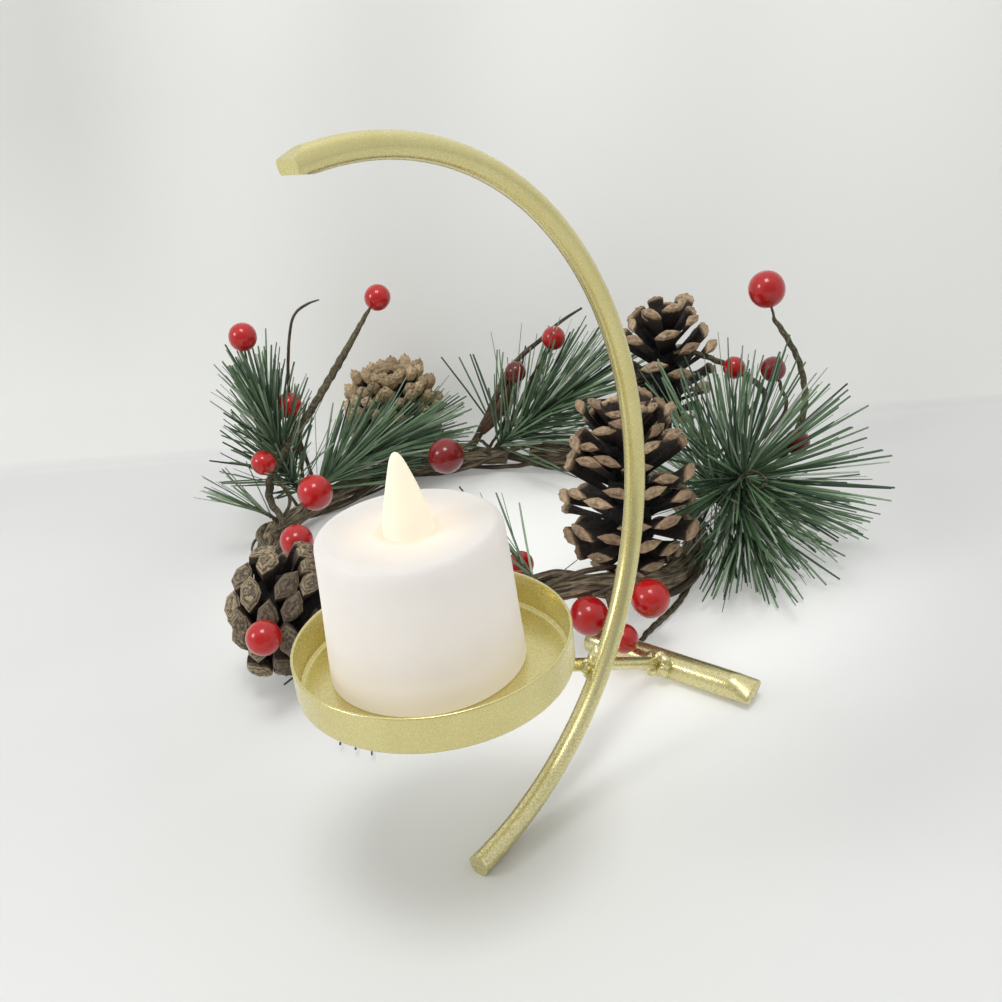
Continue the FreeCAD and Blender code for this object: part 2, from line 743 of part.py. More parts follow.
def make_berry_group(rows):
    berries = []
    stems = []
    for angle, radius_share, height_share, size_share, way, seat_angle in rows:
        centre = wreath_point(angle, radius_share, height_share)
        radius = berry_dia / 2 * size_share
        berries.append(make_berry(centre, radius))
        points = [wreath_point(*p) for p in way] + [vine_seat(seat_angle)]
        first = (points[0] - centre).normalize()
        points = [centre + first * (radius * 0.9)] + points
        stems.append(tube(points, [stem_dia / 2] * len(points), 5))
    return berries, stems


spray_table_shares = [
    # name, angle at the vine, tip place, needles, length share, least and most spread in degrees
    ("spray_left", 93, (98, 1.12, 0.42), 34, 0.95, 18, 62),
    ("spray_left_long", 88, (63, 0.84, 0.30), 30, 0.95, 12, 50),
    ("spray_low", 118, (122, 1.08, 0.20), 9, 0.72, 10, 40),
    ("spray_back", 34, (22, 0.96, 0.26), 40, 1.05, 10, 62),
    ("spray_right", 309, (304, 1.24, 0.27), 60, 1.02, 35, 105),
    ("spray_small", 240, (243, 0.74, 0.24), 8, 0.72, 10, 65),
]


def make_spray(seat_angle, tip_share, count, length_share, least, most):
    """A wire with flat needles round it, each cut short where it meets the table."""
    base = vine_seat(seat_angle)
    tip = wreath_point(*tip_share)
    way = (tip - base).normalize()
    side = way.cross(Vector(0, 0, 1)).normalize()
    other = way.cross(side)
    reach = (tip - base).Length
    wire = tube([base, base + way * (reach / 2), tip], [spray_wire_dia / 2] * 3, 5)
    needles = []
    for i in range(count):
        share = (i + 0.5) / count
        angle = math.radians(golden_angle * i)
        radial = side * math.cos(angle) + other * math.sin(angle)
        spread = math.radians(most + (least - most) * share * (0.6 + 0.4 * math.cos(2.3 * i)))
        aim = way * math.cos(spread) + radial * math.sin(spread)
        root = base + way * (reach * (0.35 + 0.63 * share)) + radial * (spray_wire_dia / 2 * 0.8)
        length = needle_length * length_share * (0.86 + 0.14 * math.sin(5.1 * i))
        if aim.z < 0:
            length = min(length, (root.z - needle_width - needle_table_gap) / -aim.z)
        flat = aim.cross(radial)
        if flat.Length < 0.1:
            flat = aim.cross(side)
        flat.normalize()
        thick = aim.cross(flat)
        needle = flat_face(polygon_ring(root, flat, thick, needle_width / 2, needle_width / 3, 3))
        needles.append(needle.extrude(aim * length))
    return wire, needles


def make_tendril():
    way = [(86, 1.06, 0.40), (82, 1.10, 0.62), (78, 1.16, 0.74), (75, 1.22, 0.80)]
    points = [vine_seat(92)] + [wreath_point(*p) for p in way]
    return tube(points, [stem_dia / 2 * share for share in (1.0, 0.9, 0.8, 0.6, 0.4)], 5)


def make_twig_loop():
    """A bent twig that rises behind the candle and comes down behind the cones."""
    way = [(37, 1.10, 0.22), (31, 1.14, 0.38), (19, 1.12, 0.54), (4, 1.06, 0.66)]
    points = [vine_seat(41)] + [wreath_point(*p) for p in way]
    return tube(points, [stem_dia * share for share in (1.1, 1.3, 1.1, 0.8, 0.5)], 6)


def make_bark_curl():
    """A curled strip of bark, open along one side."""
    start = wreath_point(40, 0.98, 0.19)
    end = wreath_point(30, 1.03, 0.37)
    way = (end - start).normalize()
    side = way.cross(Vector(0, 0, 1)).normalize()
    other = way.cross(side)
    rings = []
    for share in (0.0, 0.5, 1.0):
        centre = start + (end - start) * share
        width = stem_dia * (2.0 + 2.2 * math.sin(math.pi * (0.15 + 0.7 * share)))
        rings.append(polygon_ring(centre, side, other, width, width * 0.3, 6, share))
    return skin(rings)


save("vine_ring", make_vine())
save("vine_wrap_outer", make_wrap(75, 0))
save("vine_wrap_inner", make_wrap(250, 180))
save("wire_ties", *make_ties())
save("tendril", make_tendril())
save("twig_loop", make_twig_loop())
save("bark_curl", make_bark_curl())

for (name, angle, radius_share, height_share, axis, length_share, width_share, rows, fullest_share, lifts,
     scale_width_share, scale_depth_share, core_share, head_share) in cone_table_shares:
    foot = wreath_point(angle, radius_share, 0)
    foot.z = cone_dia * height_share
    core, scales = make_cone(foot, Vector(*axis), cone_length * length_share, cone_dia * width_share, rows,
                             fullest_share, lifts, cone_dia * scale_width_share, cone_dia * scale_depth_share,
                             core_share, head_share)
    save(name, core.multiFuse(scales))

for group, rows in berry_table_shares.items():
    berries, stems = make_berry_group(rows)
    save("berries_" + group, *berries)
    save("berry_stems_" + group, *stems)

for name, seat_angle, tip_share, count, length_share, least, most in spray_table_shares:
    wire, needles = make_spray(seat_angle, tip_share, count, length_share, least, most)
    save(name + "_wire", wire)
    save(name + "_needles", *needles)
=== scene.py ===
# %% [markdown]
# A candle ring in three tools. The shapes that were built in CAD arrive here as a fixed frame: a half ring of
# gold painted rod with a dish, an electric candle in the dish, and a loose wreath lying behind them. This
# lesson dresses that frame. The rod, the arm and the parts inside the candle keep their CAD shape and get a
# finish. The rest, such as the dish's rim, the welds, vine, cones and berries, is modelled again with the
# detail that a plain solid lacks.

# %% Load the frame
import math
import random

import bmesh
import bpy
from mathutils import Matrix, Vector, noise


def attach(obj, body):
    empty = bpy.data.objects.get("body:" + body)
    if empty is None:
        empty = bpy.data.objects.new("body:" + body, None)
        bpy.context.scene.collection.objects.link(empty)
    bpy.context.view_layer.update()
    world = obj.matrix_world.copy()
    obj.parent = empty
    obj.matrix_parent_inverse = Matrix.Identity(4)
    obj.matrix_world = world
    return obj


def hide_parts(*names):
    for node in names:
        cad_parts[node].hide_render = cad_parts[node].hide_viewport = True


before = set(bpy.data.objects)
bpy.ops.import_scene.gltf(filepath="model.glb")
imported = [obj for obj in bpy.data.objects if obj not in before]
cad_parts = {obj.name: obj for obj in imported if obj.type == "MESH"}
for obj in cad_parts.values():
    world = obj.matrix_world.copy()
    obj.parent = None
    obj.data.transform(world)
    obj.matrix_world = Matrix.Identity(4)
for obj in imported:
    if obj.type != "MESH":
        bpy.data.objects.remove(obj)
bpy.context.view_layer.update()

# %% [markdown]
# The camera stands where the photographer stood: a little above the ring, to the left of it and in front. Its
# place and its three axes were worked out from the ring's outline, so they are written down as measured.

# %% Camera
MM = 0.001
camera_place = Vector((-151.14, -161.22, 209.64)) * MM
camera_right = Vector((0.6293, -0.7701, -0.1050))
camera_down = Vector((-0.3875, -0.1938, -0.9013))
camera_ahead = Vector((0.6737, 0.6078, -0.4204))
camera_data = bpy.data.cameras.new("photo_camera")
camera_data.lens = 39.52
camera_data.sensor_width = 36
camera_data.clip_start = 0.01
camera = bpy.data.objects.new("photo_camera", camera_data)
camera_axes = Matrix((camera_right, -camera_down, -camera_ahead)).transposed()
camera.matrix_world = Matrix.Translation(camera_place) @ camera_axes.to_4x4()
bpy.context.scene.collection.objects.link(camera)
bpy.context.scene.camera = camera
bpy.context.scene.view_settings.view_transform = "Standard"

# %% [markdown]
# Every finish below is a small tree of nodes. Writing each node by hand takes four lines, so one helper adds
# a node, sets its options and fills its inputs. An input that is handed a socket is linked to it, and
# anything else is taken as its value.

# %% Node helpers
def add(tree, kind, values=None, **options):
    node = tree.nodes.new(kind)
    for option, choice in options.items():
        setattr(node, option, choice)
    for key, value in (values or {}).items():
        if isinstance(value, bpy.types.NodeSocket):
            tree.links.new(value, node.inputs[key])
        else:
            node.inputs[key].default_value = value
    return node


def calc(tree, operation, *values):
    """One number worked out from others."""
    return add(tree, "ShaderNodeMath", dict(enumerate(values)), operation=operation).outputs[0]


def vector_calc(tree, operation, *values):
    """One vector worked out from others."""
    return add(tree, "ShaderNodeVectorMath", dict(enumerate(values)), operation=operation).outputs[0]


def vector_measure(tree, operation, *values):
    """One number worked out from vectors, such as a length."""
    return add(tree, "ShaderNodeVectorMath", dict(enumerate(values)), operation=operation).outputs[1]


def parts_of(tree, vector):
    """The x, y and z of a vector."""
    return add(tree, "ShaderNodeSeparateXYZ", {0: vector}).outputs


def vector_from(tree, x, y, z):
    return add(tree, "ShaderNodeCombineXYZ", {0: x, 1: y, 2: z}).outputs[0]


def ramp(tree, value, low, high, at_low=0.0, at_high=1.0, curve="LINEAR"):
    """A number that goes from at_low to at_high while the value goes from low to high, and stays there."""
    return add(tree, "ShaderNodeMapRange", {0: value, 1: low, 2: high, 3: at_low, 4: at_high},
               interpolation_type=curve).outputs[0]


def mix_colour(tree, factor, first, second, blend="MIX"):
    return add(tree, "ShaderNodeMix", {0: factor, 6: first, 7: second}, data_type="RGBA",
               blend_type=blend).outputs[2]


def stretch(tree, vector, factor):
    """The vector made longer or shorter by a factor."""
    node = add(tree, "ShaderNodeVectorMath", {0: vector}, operation="SCALE")
    if isinstance(factor, bpy.types.NodeSocket):
        tree.links.new(factor, node.inputs[3])
    else:
        node.inputs[3].default_value = factor
    return node.outputs[0]


def new_group(name, kind, inputs, outputs):
    """A node group with named sockets. Returns the tree, its given values and its results."""
    tree = bpy.data.node_groups.new(name, kind)
    for socket, (socket_type, value) in inputs.items():
        item = tree.interface.new_socket(socket, in_out="INPUT", socket_type="NodeSocket" + socket_type)
        if value is not None:
            item.default_value = value
    for socket, socket_type in outputs.items():
        tree.interface.new_socket(socket, in_out="OUTPUT", socket_type="NodeSocket" + socket_type)
    given = tree.nodes.new("NodeGroupInput").outputs
    results = tree.nodes.new("NodeGroupOutput").inputs
    return tree, given, results


def use_group(tree, group, values):
    """Place a shader node group and return what it puts out."""
    return add(tree, "ShaderNodeGroup", values, node_tree=group).outputs


# %% [markdown]
# Two effects come back in many finishes. Mottle is a soft noise between two colours, and it also hands out
# its mask, so that the same spots can change roughness or height. Round and along turns the map of a stick
# into a seamless solid place, because a plain map has a seam where its two sides meet.

# %% Shared effects
mottle, given, results = new_group(
    "mottle", "ShaderNodeTree",
    {"Vector": ("Vector", None), "Scale": ("Float", 100.0), "Detail": ("Float", 3.0),
     "Low": ("Float", 0.38), "High": ("Float", 0.62),
     "Dark": ("Color", (0.1, 0.1, 0.1, 1)), "Light": ("Color", (0.8, 0.8, 0.8, 1))},
    {"Color": "Color", "Mask": "Float"})
cloud = add(mottle, "ShaderNodeTexNoise",
            {"Vector": given["Vector"], "Scale": given["Scale"], "Detail": given["Detail"]})
mask = ramp(mottle, cloud.outputs[0], given["Low"], given["High"])
mottle.links.new(mix_colour(mottle, mask, given["Dark"], given["Light"]), results["Color"])
mottle.links.new(mask, results["Mask"])

round_and_along, given, results = new_group(
    "round_and_along", "ShaderNodeTree",
    {"Map": ("Vector", None), "Round": ("Float", 1.0), "Along": ("Float", 100.0)}, {"Place": "Vector"})
t = round_and_along
map_parts = parts_of(t, given["Map"])
turn = calc(t, "MULTIPLY", map_parts[0], 2 * math.pi)
place = vector_from(t, calc(t, "MULTIPLY", calc(t, "COSINE", turn), given["Round"]),
                    calc(t, "MULTIPLY", calc(t, "SINE", turn), given["Round"]),
                    calc(t, "MULTIPLY", map_parts[1], given["Along"]))
t.links.new(place, results["Place"])


# %% A new material
def new_material(name, roughness, metallic=0.0):
    """A material with its tree and its shader."""
    material = bpy.data.materials.new(name)
    material.use_nodes = True
    tree = material.node_tree
    shader = tree.nodes["Principled BSDF"]
    shader.inputs["Roughness"].default_value = roughness
    shader.inputs["Metallic"].default_value = metallic
    return material, tree, shader


def object_place(tree):
    return add(tree, "ShaderNodeTexCoord").outputs["Object"]


def uv_place(tree):
    return add(tree, "ShaderNodeUVMap", uv_map="UVMap").outputs["UV"]


def number_on(tree, name):
    """The number that the mesh carries under this name."""
    return add(tree, "ShaderNodeAttribute", attribute_name=name).outputs["Fac"]


def bump(tree, shader, height, strength, distance):
    node = add(tree, "ShaderNodeBump", {"Strength": strength, "Distance": distance, "Height": height})
    tree.links.new(node.outputs[0], shader.inputs["Normal"])


# %% [markdown]
# The gold is paint, not plate: a pale champagne colour with a fine metal flake, sprayed over rod and weld
# alike and then dipped in clear lacquer. The flake is finer than a pencil point, so its noise has a scale of
# thousands. Near the table the paint has been handled, and there the flake shows darker.

# %% Gold paint
gold_paint, tree, shader = new_material("gold_paint", 0.3, 0.9)
place = object_place(tree)
flake = use_group(tree, mottle, {"Vector": place, "Scale": 1900.0, "Detail": 3.0, "Low": 0.30, "High": 0.66,
                                 "Dark": (0.51, 0.44, 0.17, 1), "Light": (0.85, 0.79, 0.47, 1)})
even = use_group(tree, mottle, {"Vector": place, "Scale": 70.0, "Detail": 2.0,
                                "Dark": (0.69, 0.61, 0.265, 1), "Light": (0.72, 0.65, 0.30, 1)})
handled = ramp(tree, parts_of(tree, place)[2], 0.018, 0.060, 0.85, 0.10)
tree.links.new(mix_colour(tree, handled, even["Color"], flake["Color"]), shader.inputs["Base Color"])
tree.links.new(ramp(tree, flake["Mask"], 0.0, 1.0, 0.36, 0.24), shader.inputs["Roughness"])
shader.inputs["Coat Weight"].default_value = 0.35
shader.inputs["Coat Roughness"].default_value = 0.22
bump(tree, shader, calc(tree, "MULTIPLY", flake["Mask"], handled), 0.14, 0.0001)

# %% [markdown]
# The candle is moulded plastic that looks like wax: matte and warm white. Its sides carry painted light,
# brighter towards the foot, and its top carries nearly none; near the flame a painted glow stands for the
# flame's light soaking in. The glow is a colour that fades with the distance from the flame, so it stays put
# in every view.

# %% Candle finishes
candle_foot = Vector((4.0, 8.3, 63.7))
candle_height = 36.4
flame_height = 18.6
flame_foot = (candle_foot + Vector((0, 0, candle_height))) * MM


def glow_by_distance(tree, centre, near, far):
    """1 within near of the centre, fading to 0 at far."""
    offset = vector_calc(tree, "SUBTRACT", object_place(tree), tuple(centre))
    return ramp(tree, vector_measure(tree, "LENGTH", offset), near, far, 1.0, 0.0, "SMOOTHERSTEP")


candle_wax, tree, shader = new_material("candle_wax", 0.55)
wax = use_group(tree, mottle, {"Vector": object_place(tree), "Scale": 45.0, "Detail": 2.0,
                               "Dark": (0.70, 0.665, 0.625, 1), "Light": (0.735, 0.70, 0.665, 1)})
tree.links.new(wax["Color"], shader.inputs["Base Color"])
glow = glow_by_distance(tree, flame_foot + Vector((-0.001, -0.001, 0)), 0.004, 0.022)
level = parts_of(tree, object_place(tree))[2]
# Painted light: the sides get an emission colour, brighter towards the foot, and the top nearly none.
under_edge = ramp(tree, level, flame_foot.z - 0.0024, flame_foot.z - 0.0004, 1.0, 0.0)
deep = ramp(tree, level, candle_foot.z * MM, flame_foot.z - 0.006)
painted_side_light = mix_colour(tree, deep, (0.30, 0.275, 0.245, 1), (0.20, 0.185, 0.17, 1))
painted_candle_glow = mix_colour(tree, under_edge, (0.035, 0.03, 0.025, 1), painted_side_light)
painted_candle_glow = mix_colour(tree, glow, painted_candle_glow, (0.27, 0.17, 0.085, 1))
tree.links.new(painted_candle_glow, shader.inputs["Emission Color"])
shader.inputs["Emission Strength"].default_value = 1.0
shader.inputs["Subsurface Weight"].default_value = 0.25
shader.inputs["Subsurface Scale"].default_value = 0.006
shader.inputs["Subsurface Radius"].default_value = (1.0, 0.7, 0.5)
bump(tree, shader, wax["Mask"], 0.05, 0.0004)

flame_plastic, tree, shader = new_material("flame_plastic", 0.4)
level = parts_of(tree, object_place(tree))[2]
rise = ramp(tree, level, flame_foot.z, flame_foot.z + flame_height * MM)
warmth = add(tree, "ShaderNodeValToRGB", {0: rise})
warmth.color_ramp.elements[0].color = (0.86, 0.68, 0.52, 1)
warmth.color_ramp.elements[1].color = (0.88, 0.84, 0.62, 1)
warmth.color_ramp.elements.new(0.35).color = (0.86, 0.76, 0.52, 1)
tree.links.new(warmth.outputs[0], shader.inputs["Emission Color"])
shader.inputs["Emission Strength"].default_value = 0.56
haze = use_group(tree, mottle, {"Vector": object_place(tree), "Scale": 90.0, "Detail": 2.0,
                                "Dark": (0.62, 0.55, 0.46, 1), "Light": (0.66, 0.60, 0.50, 1)})
tree.links.new(haze["Color"], shader.inputs["Base Color"])

# %% [markdown]
# Bark runs along a stick, so its noise is squeezed round the stick and drawn out along it. The map of each
# tube below has the turn in u and metres along in v, which keeps the grooves the same size on thick and thin.

# %% Bark, stems and wire
def stick_material(name, dark, light, along, roughness, depth, round_share=1.6):
    """Bark or tape with grooves along a stick: along says how short they are, depth how deep in metres."""
    material, tree, shader = new_material(name, roughness)
    place = use_group(tree, round_and_along, {"Map": uv_place(tree), "Round": round_share, "Along": along})
    groove = use_group(tree, mottle, {"Vector": place["Place"], "Scale": 2.6, "Detail": 6.0, "Low": 0.36,
                                      "High": 0.62, "Dark": dark, "Light": light})
    spots = use_group(tree, mottle, {"Vector": object_place(tree), "Scale": 240.0, "Detail": 2.0,
                                     "Dark": (0.55, 0.52, 0.50, 1), "Light": (1.0, 1.0, 1.0, 1)})
    colour = mix_colour(tree, 0.8, groove["Color"], spots["Color"], "MULTIPLY")
    tree.links.new(colour, shader.inputs["Base Color"])
    bump(tree, shader, groove["Mask"], 0.9, depth)
    return material


vine_bark = stick_material("vine_bark", (0.045, 0.032, 0.020, 1), (0.49, 0.395, 0.255, 1), 45.0, 0.8, 0.0010,
                           round_share=1.8)
thin_bark = stick_material("thin_bark", (0.045, 0.032, 0.020, 1), (0.24, 0.18, 0.11, 1), 90.0, 0.75, 0.0004)
bark_skin = stick_material("bark_skin", (0.045, 0.018, 0.010, 1), (0.20, 0.085, 0.045, 1), 70.0, 0.65, 0.0003)
stem_tape = stick_material("stem_tape", (0.040, 0.032, 0.017, 1), (0.20, 0.165, 0.085, 1), 300.0, 0.6, 0.0002,
                           round_share=0.8)
tie_wire = stick_material("tie_wire", (0.05, 0.05, 0.045, 1), (0.22, 0.21, 0.18, 1), 900.0, 0.45, 0.0001)

# %% [markdown]
# A cone scale is tan at its thick outer end, and the old scales have a dark ring round the boss in the middle
# of that end. Inside the cone each scale is painted near black towards its root: that is painted shade, for
# the shadow deep between the scales. Each corner of a scale carries a number called along, from 0 at the root
# to 1 at the end, and each scale has a tone that was drawn when it was planted, so no two match.

# %% Cone scales
ring_gap = 0.052


def scale_material(name, root_shade, shaft_shade_and_boss, tip, edge, tip_from, boss, ringed):
    """The first two colours are painted shade inside the cone, and the second also darkens the boss and its
    rings.
    The end's colour lies between tip and edge.
    """
    material, tree, shader = new_material(name, 0.72)
    rough = add(tree, "ShaderNodeTexNoise", {"Vector": object_place(tree), "Scale": 420.0, "Detail": 4.0})
    wander = calc(tree, "MULTIPLY", calc(tree, "SUBTRACT", rough.outputs[0], 0.5), 0.14)
    along = calc(tree, "ADD", number_on(tree, "along"), wander)
    # Painted shade: the scale is near black from its root up its shaft, for the shadow inside the cone.
    body = mix_colour(tree, ramp(tree, along, 0.25, 0.80), root_shade, shaft_shade_and_boss)
    pale = ramp(tree, along, tip_from, tip_from + 0.06)
    tips = mix_colour(tree, number_on(tree, "tone"), tip, edge)
    tips = mix_colour(tree, ramp(tree, along, 0.955, 0.985, 0.0, boss), tips, shaft_shade_and_boss)
    wave = calc(tree, "SINE", calc(tree, "MULTIPLY", along, 2 * math.pi / ring_gap))
    tips = mix_colour(tree, calc(tree, "MULTIPLY", calc(tree, "MAXIMUM", wave, 0.0), ringed), tips, shaft_shade_and_boss)
    colour = mix_colour(tree, pale, body, tips)
    specks = use_group(tree, mottle, {"Vector": object_place(tree), "Scale": 800.0, "Detail": 3.0, "Low": 0.3,
                                      "High": 0.6, "Dark": (0.50, 0.46, 0.43, 1), "Light": (1, 1, 1, 1)})
    colour = mix_colour(tree, 0.7, colour, specks["Color"], "MULTIPLY")
    tree.links.new(colour, shader.inputs["Base Color"])
    bump(tree, shader, specks["Mask"], 0.5, 0.0004)
    return material


open_scales = scale_material(
    "open_scales", root_shade=(0.008, 0.006, 0.006, 1), shaft_shade_and_boss=(0.038, 0.025, 0.019, 1), tip=(0.58, 0.42, 0.257, 1),
    edge=(0.28, 0.18, 0.105, 1), tip_from=0.82, boss=0.35, ringed=0.2)
closed_scales = scale_material(
    "closed_scales", root_shade=(0.012, 0.008, 0.006, 1), shaft_shade_and_boss=(0.065, 0.042, 0.026, 1),
    tip=(0.63, 0.48, 0.285, 1), edge=(0.37, 0.265, 0.15, 1), tip_from=0.66, boss=0.6, ringed=0.25)
old_scales = scale_material(
    "old_scales", root_shade=(0.010, 0.007, 0.006, 1), shaft_shade_and_boss=(0.050, 0.033, 0.022, 1), tip=(0.46, 0.37, 0.23, 1),
    edge=(0.09, 0.062, 0.04, 1), tip_from=0.80, boss=0.5, ringed=0.9)

# %% [markdown]
# Berries are lacquered, so their shine comes from a thin clear coat over a duller red, which keeps the small
# bright spots sharp. Needles are cut from film of several greens, from near black to frosted, and each needle
# reads its own tone to find its place in that range.

# %% Berries and needles
berry_red, tree, shader = new_material("berry_red", 0.3)
skin_spots = use_group(tree, mottle, {"Vector": object_place(tree), "Scale": 160.0, "Detail": 2.0,
                                      "Dark": (0.80, 0.70, 0.70, 1), "Light": (1, 1, 1, 1)})
red = mix_colour(tree, number_on(tree, "tone"), (0.13, 0.004, 0.006, 1), (0.54, 0.008, 0.008, 1))
red = mix_colour(tree, 0.6, red, skin_spots["Color"], "MULTIPLY")
end_mask = ramp(tree, parts_of(tree, uv_place(tree))[1], 0.955, 0.975)
tree.links.new(mix_colour(tree, end_mask, red, (0.03, 0.012, 0.008, 1)), shader.inputs["Base Color"])
shader.inputs["Specular IOR Level"].default_value = 0.25
shader.inputs["Coat Weight"].default_value = 0.75
shader.inputs["Coat Roughness"].default_value = 0.05
bump(tree, shader, skin_spots["Mask"], 0.06, 0.0004)

needle_green, tree, shader = new_material("needle_green", 0.42)
green = add(tree, "ShaderNodeValToRGB", {0: number_on(tree, "tone")})
green.color_ramp.elements[0].color = (0.034, 0.058, 0.038, 1)
green.color_ramp.elements[1].color = (0.56, 0.61, 0.50, 1)
for at, colour in ((0.30, (0.092, 0.172, 0.092, 1)), (0.62, (0.175, 0.280, 0.140, 1)),
                   (0.86, (0.300, 0.405, 0.265, 1))):
    green.color_ramp.elements.new(at).color = colour
strip = use_group(tree, mottle, {"Vector": object_place(tree), "Scale": 90.0, "Detail": 3.0,
                                 "Dark": (0.55, 0.62, 0.60, 1), "Light": (1.0, 1.0, 1.0, 1)})
tinted = mix_colour(tree, 0.7, green.outputs[0], strip["Color"], "MULTIPLY")
tree.links.new(tinted, shader.inputs["Base Color"])

# %% [markdown]
# The parts inside the candle are only seen when it is opened, but they still get the finish they really
# have: moulded plastic, a bright cell, a green board.

# %% Plain finishes
def plain_finish(name, dark, light, roughness, metallic=0.0, scale=300.0):
    material, tree, shader = new_material(name, roughness, metallic)
    spots = use_group(tree, mottle, {"Vector": object_place(tree), "Scale": scale, "Detail": 3.0,
                                     "Dark": dark, "Light": light})
    tree.links.new(spots["Color"], shader.inputs["Base Color"])
    bump(tree, shader, spots["Mask"], 0.08, 0.0002)
    return material


white_plastic = plain_finish("white_plastic", (0.80, 0.79, 0.77, 1), (0.86, 0.85, 0.83, 1), 0.5)
black_plastic = plain_finish("black_plastic", (0.025, 0.025, 0.025, 1), (0.05, 0.05, 0.05, 1), 0.55)
cell_steel = plain_finish("cell_steel", (0.52, 0.52, 0.52, 1), (0.68, 0.68, 0.68, 1), 0.28, 1.0, 900.0)
led_epoxy = plain_finish("led_epoxy", (0.90, 0.72, 0.36, 1), (0.95, 0.80, 0.45, 1), 0.12)
board_green = plain_finish("board_green", (0.06, 0.22, 0.09, 1), (0.10, 0.32, 0.14, 1), 0.35)

# %% [markdown]
# Tubes make the vines, stems and wires. A tube is a ring of points carried along a path, and the ring must
# not spin on its way, so each ring's side is the last one's with the new direction taken out of it. A ridge
# function may push each point in or out, which is how the vine gets real grooves.

# %% Paths and tubes
def smooth_way(points, steps):
    """A curve through the points: each stretch is bent by the points before and after it."""
    points = [Vector(p) for p in points]
    result = []
    for i in range(len(points) - 1):
        a = points[max(i - 1, 0)]
        b, c = points[i], points[i + 1]
        d = points[min(i + 2, len(points) - 1)]
        for k in range(steps):
            t = k / steps
            result.append(0.5 * (2 * b + (c - a) * t + (2 * a - 5 * b + 4 * c - d) * t * t
                                 + (3 * b - a - 3 * c + d) * t ** 3))
    return result + [points[-1]]


def spread(values, count):
    """The values stretched evenly over count places."""
    result = []
    for i in range(count):
        at = i / (count - 1) * (len(values) - 1)
        low = min(int(at), len(values) - 2)
        result.append(values[low] + (values[low + 1] - values[low]) * (at - low))
    return result


def map_layer(bm):
    """The layer for the map, under the name that the materials read."""
    return bm.loops.layers.uv.get("UVMap") or bm.loops.layers.uv.new("UVMap")


def tone_layer_of(bm):
    return bm.verts.layers.float.get("tone") or bm.verts.layers.float.new("tone")


def add_tube(bm, points, radii, sides, ridge=None, tone=0.5):
    """Add a closed tube to bm, with u round it and v in metres along it."""
    uv = map_layer(bm)
    tone_layer = tone_layer_of(bm)
    side = None
    rings = []
    travel = [0.0]
    for i, point in enumerate(points):
        ahead = (points[min(i + 1, len(points) - 1)] - points[max(i - 1, 0)]).normalized()
        if side is None:
            side = ahead.orthogonal()
        side = (side - ahead * side.dot(ahead)).normalized()
        other = ahead.cross(side)
        if i:
            travel.append(travel[-1] + (point - points[i - 1]).length)
        ring = []
        for k in range(sides):
            turn = 2 * math.pi * k / sides
            reach = radii[i] * (ridge(turn, travel[i]) if ridge else 1.0)
            vert = bm.verts.new(point + (side * math.cos(turn) + other * math.sin(turn)) * reach)
            vert[tone_layer] = tone
            ring.append(vert)
        rings.append(ring)
    for i in range(len(rings) - 1):
        for k in range(sides):
            n = (k + 1) % sides
            face = bm.faces.new((rings[i][k], rings[i][n], rings[i + 1][n], rings[i + 1][k]))
            for loop, u, v in zip(face.loops, (k, k + 1, k + 1, k), (i, i, i + 1, i + 1)):
                loop[uv].uv = (u / sides, travel[v] * MM)
    for ring, flip in ((rings[0], True), (rings[-1], False)):
        face = bm.faces.new(ring[::-1] if flip else ring)
        for loop in face.loops:
            loop[uv].uv = (0.5, travel[0 if flip else -1] * MM)


def to_mesh(bm, name):
    mesh = bpy.data.meshes.new(name)
    bm.to_mesh(mesh)
    bm.free()
    return mesh


def land(bm_or_mesh, name, material, body, nodes=(), smooth=True):
    """Turn millimetres into metres, make the object and hand it to its body."""
    if isinstance(bm_or_mesh, bmesh.types.BMesh):
        mesh = to_mesh(bm_or_mesh, name)
    else:
        mesh = bm_or_mesh
        mesh.name = name
    mesh.transform(Matrix.Scale(MM, 4))
    if smooth:
        mesh.shade_smooth()
    mesh.materials.clear()
    mesh.materials.append(material)
    piece = bpy.data.objects.new(name, mesh)
    bpy.context.scene.collection.objects.link(piece)
    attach(piece, body)
    if nodes:
        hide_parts(*nodes)
    lowest = min(vert.co.z for vert in mesh.vertices) / MM
    print(name, len(mesh.polygons), "faces, lowest at", round(lowest, 1), "mm")


# %% [markdown]
# The ring and the arm are bent round rod, which the frame already has as it is, so they only need the paint.
# The stand's sizes are written down once here, in millimetres, for the welds, the dish and the foot bar.

# %% Paint the stand
def paint(node, finish):
    """Give a CAD node a finish and leave its mesh alone."""
    for material_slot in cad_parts[node].material_slots:
        material_slot.material = finish


for node in ("arc_rod", "dish_arm"):
    paint(node, gold_paint)

ring_x, ring_z, ring_radius = 0.6, 93.7, 90.7
dish_x, dish_y, dish_foot = 3.0, 5.0, 62.6
foot_bar_x, foot_bar_z = 105.0, 4.5

# %% [markdown]
# Welds are the one thing a drawing never shows as it is. A real bead is a row of puddles that froze into each
# other, so it is built from a few balls, melted together by a voxel remesh and smoothed. Each ball is moved a
# little by a seeded dice, so that no bead looks machined.

# %% Balls melted into a bead
def melt(balls, voxel):
    """Balls of (centre, radius, flatness), melted into one skin."""
    bm = bmesh.new()
    for centre, radius, flat in balls:
        shape = Matrix.Translation(Vector(centre)) @ Matrix.Diagonal((1, 1, flat, 1))
        bmesh.ops.create_icosphere(bm, subdivisions=3, radius=radius, matrix=shape)
    piece = bpy.data.objects.new("melt", to_mesh(bm, "melt"))
    bpy.context.scene.collection.objects.link(piece)
    remesh = piece.modifiers.new("melt", "REMESH")
    remesh.mode = "VOXEL"
    remesh.voxel_size = voxel
    soften = piece.modifiers.new("soften", "SMOOTH")
    soften.factor = 0.6
    soften.iterations = 5
    graph = bpy.context.evaluated_depsgraph_get()
    result = bpy.data.meshes.new_from_object(piece.evaluated_get(graph))
    bpy.data.objects.remove(piece)
    return result


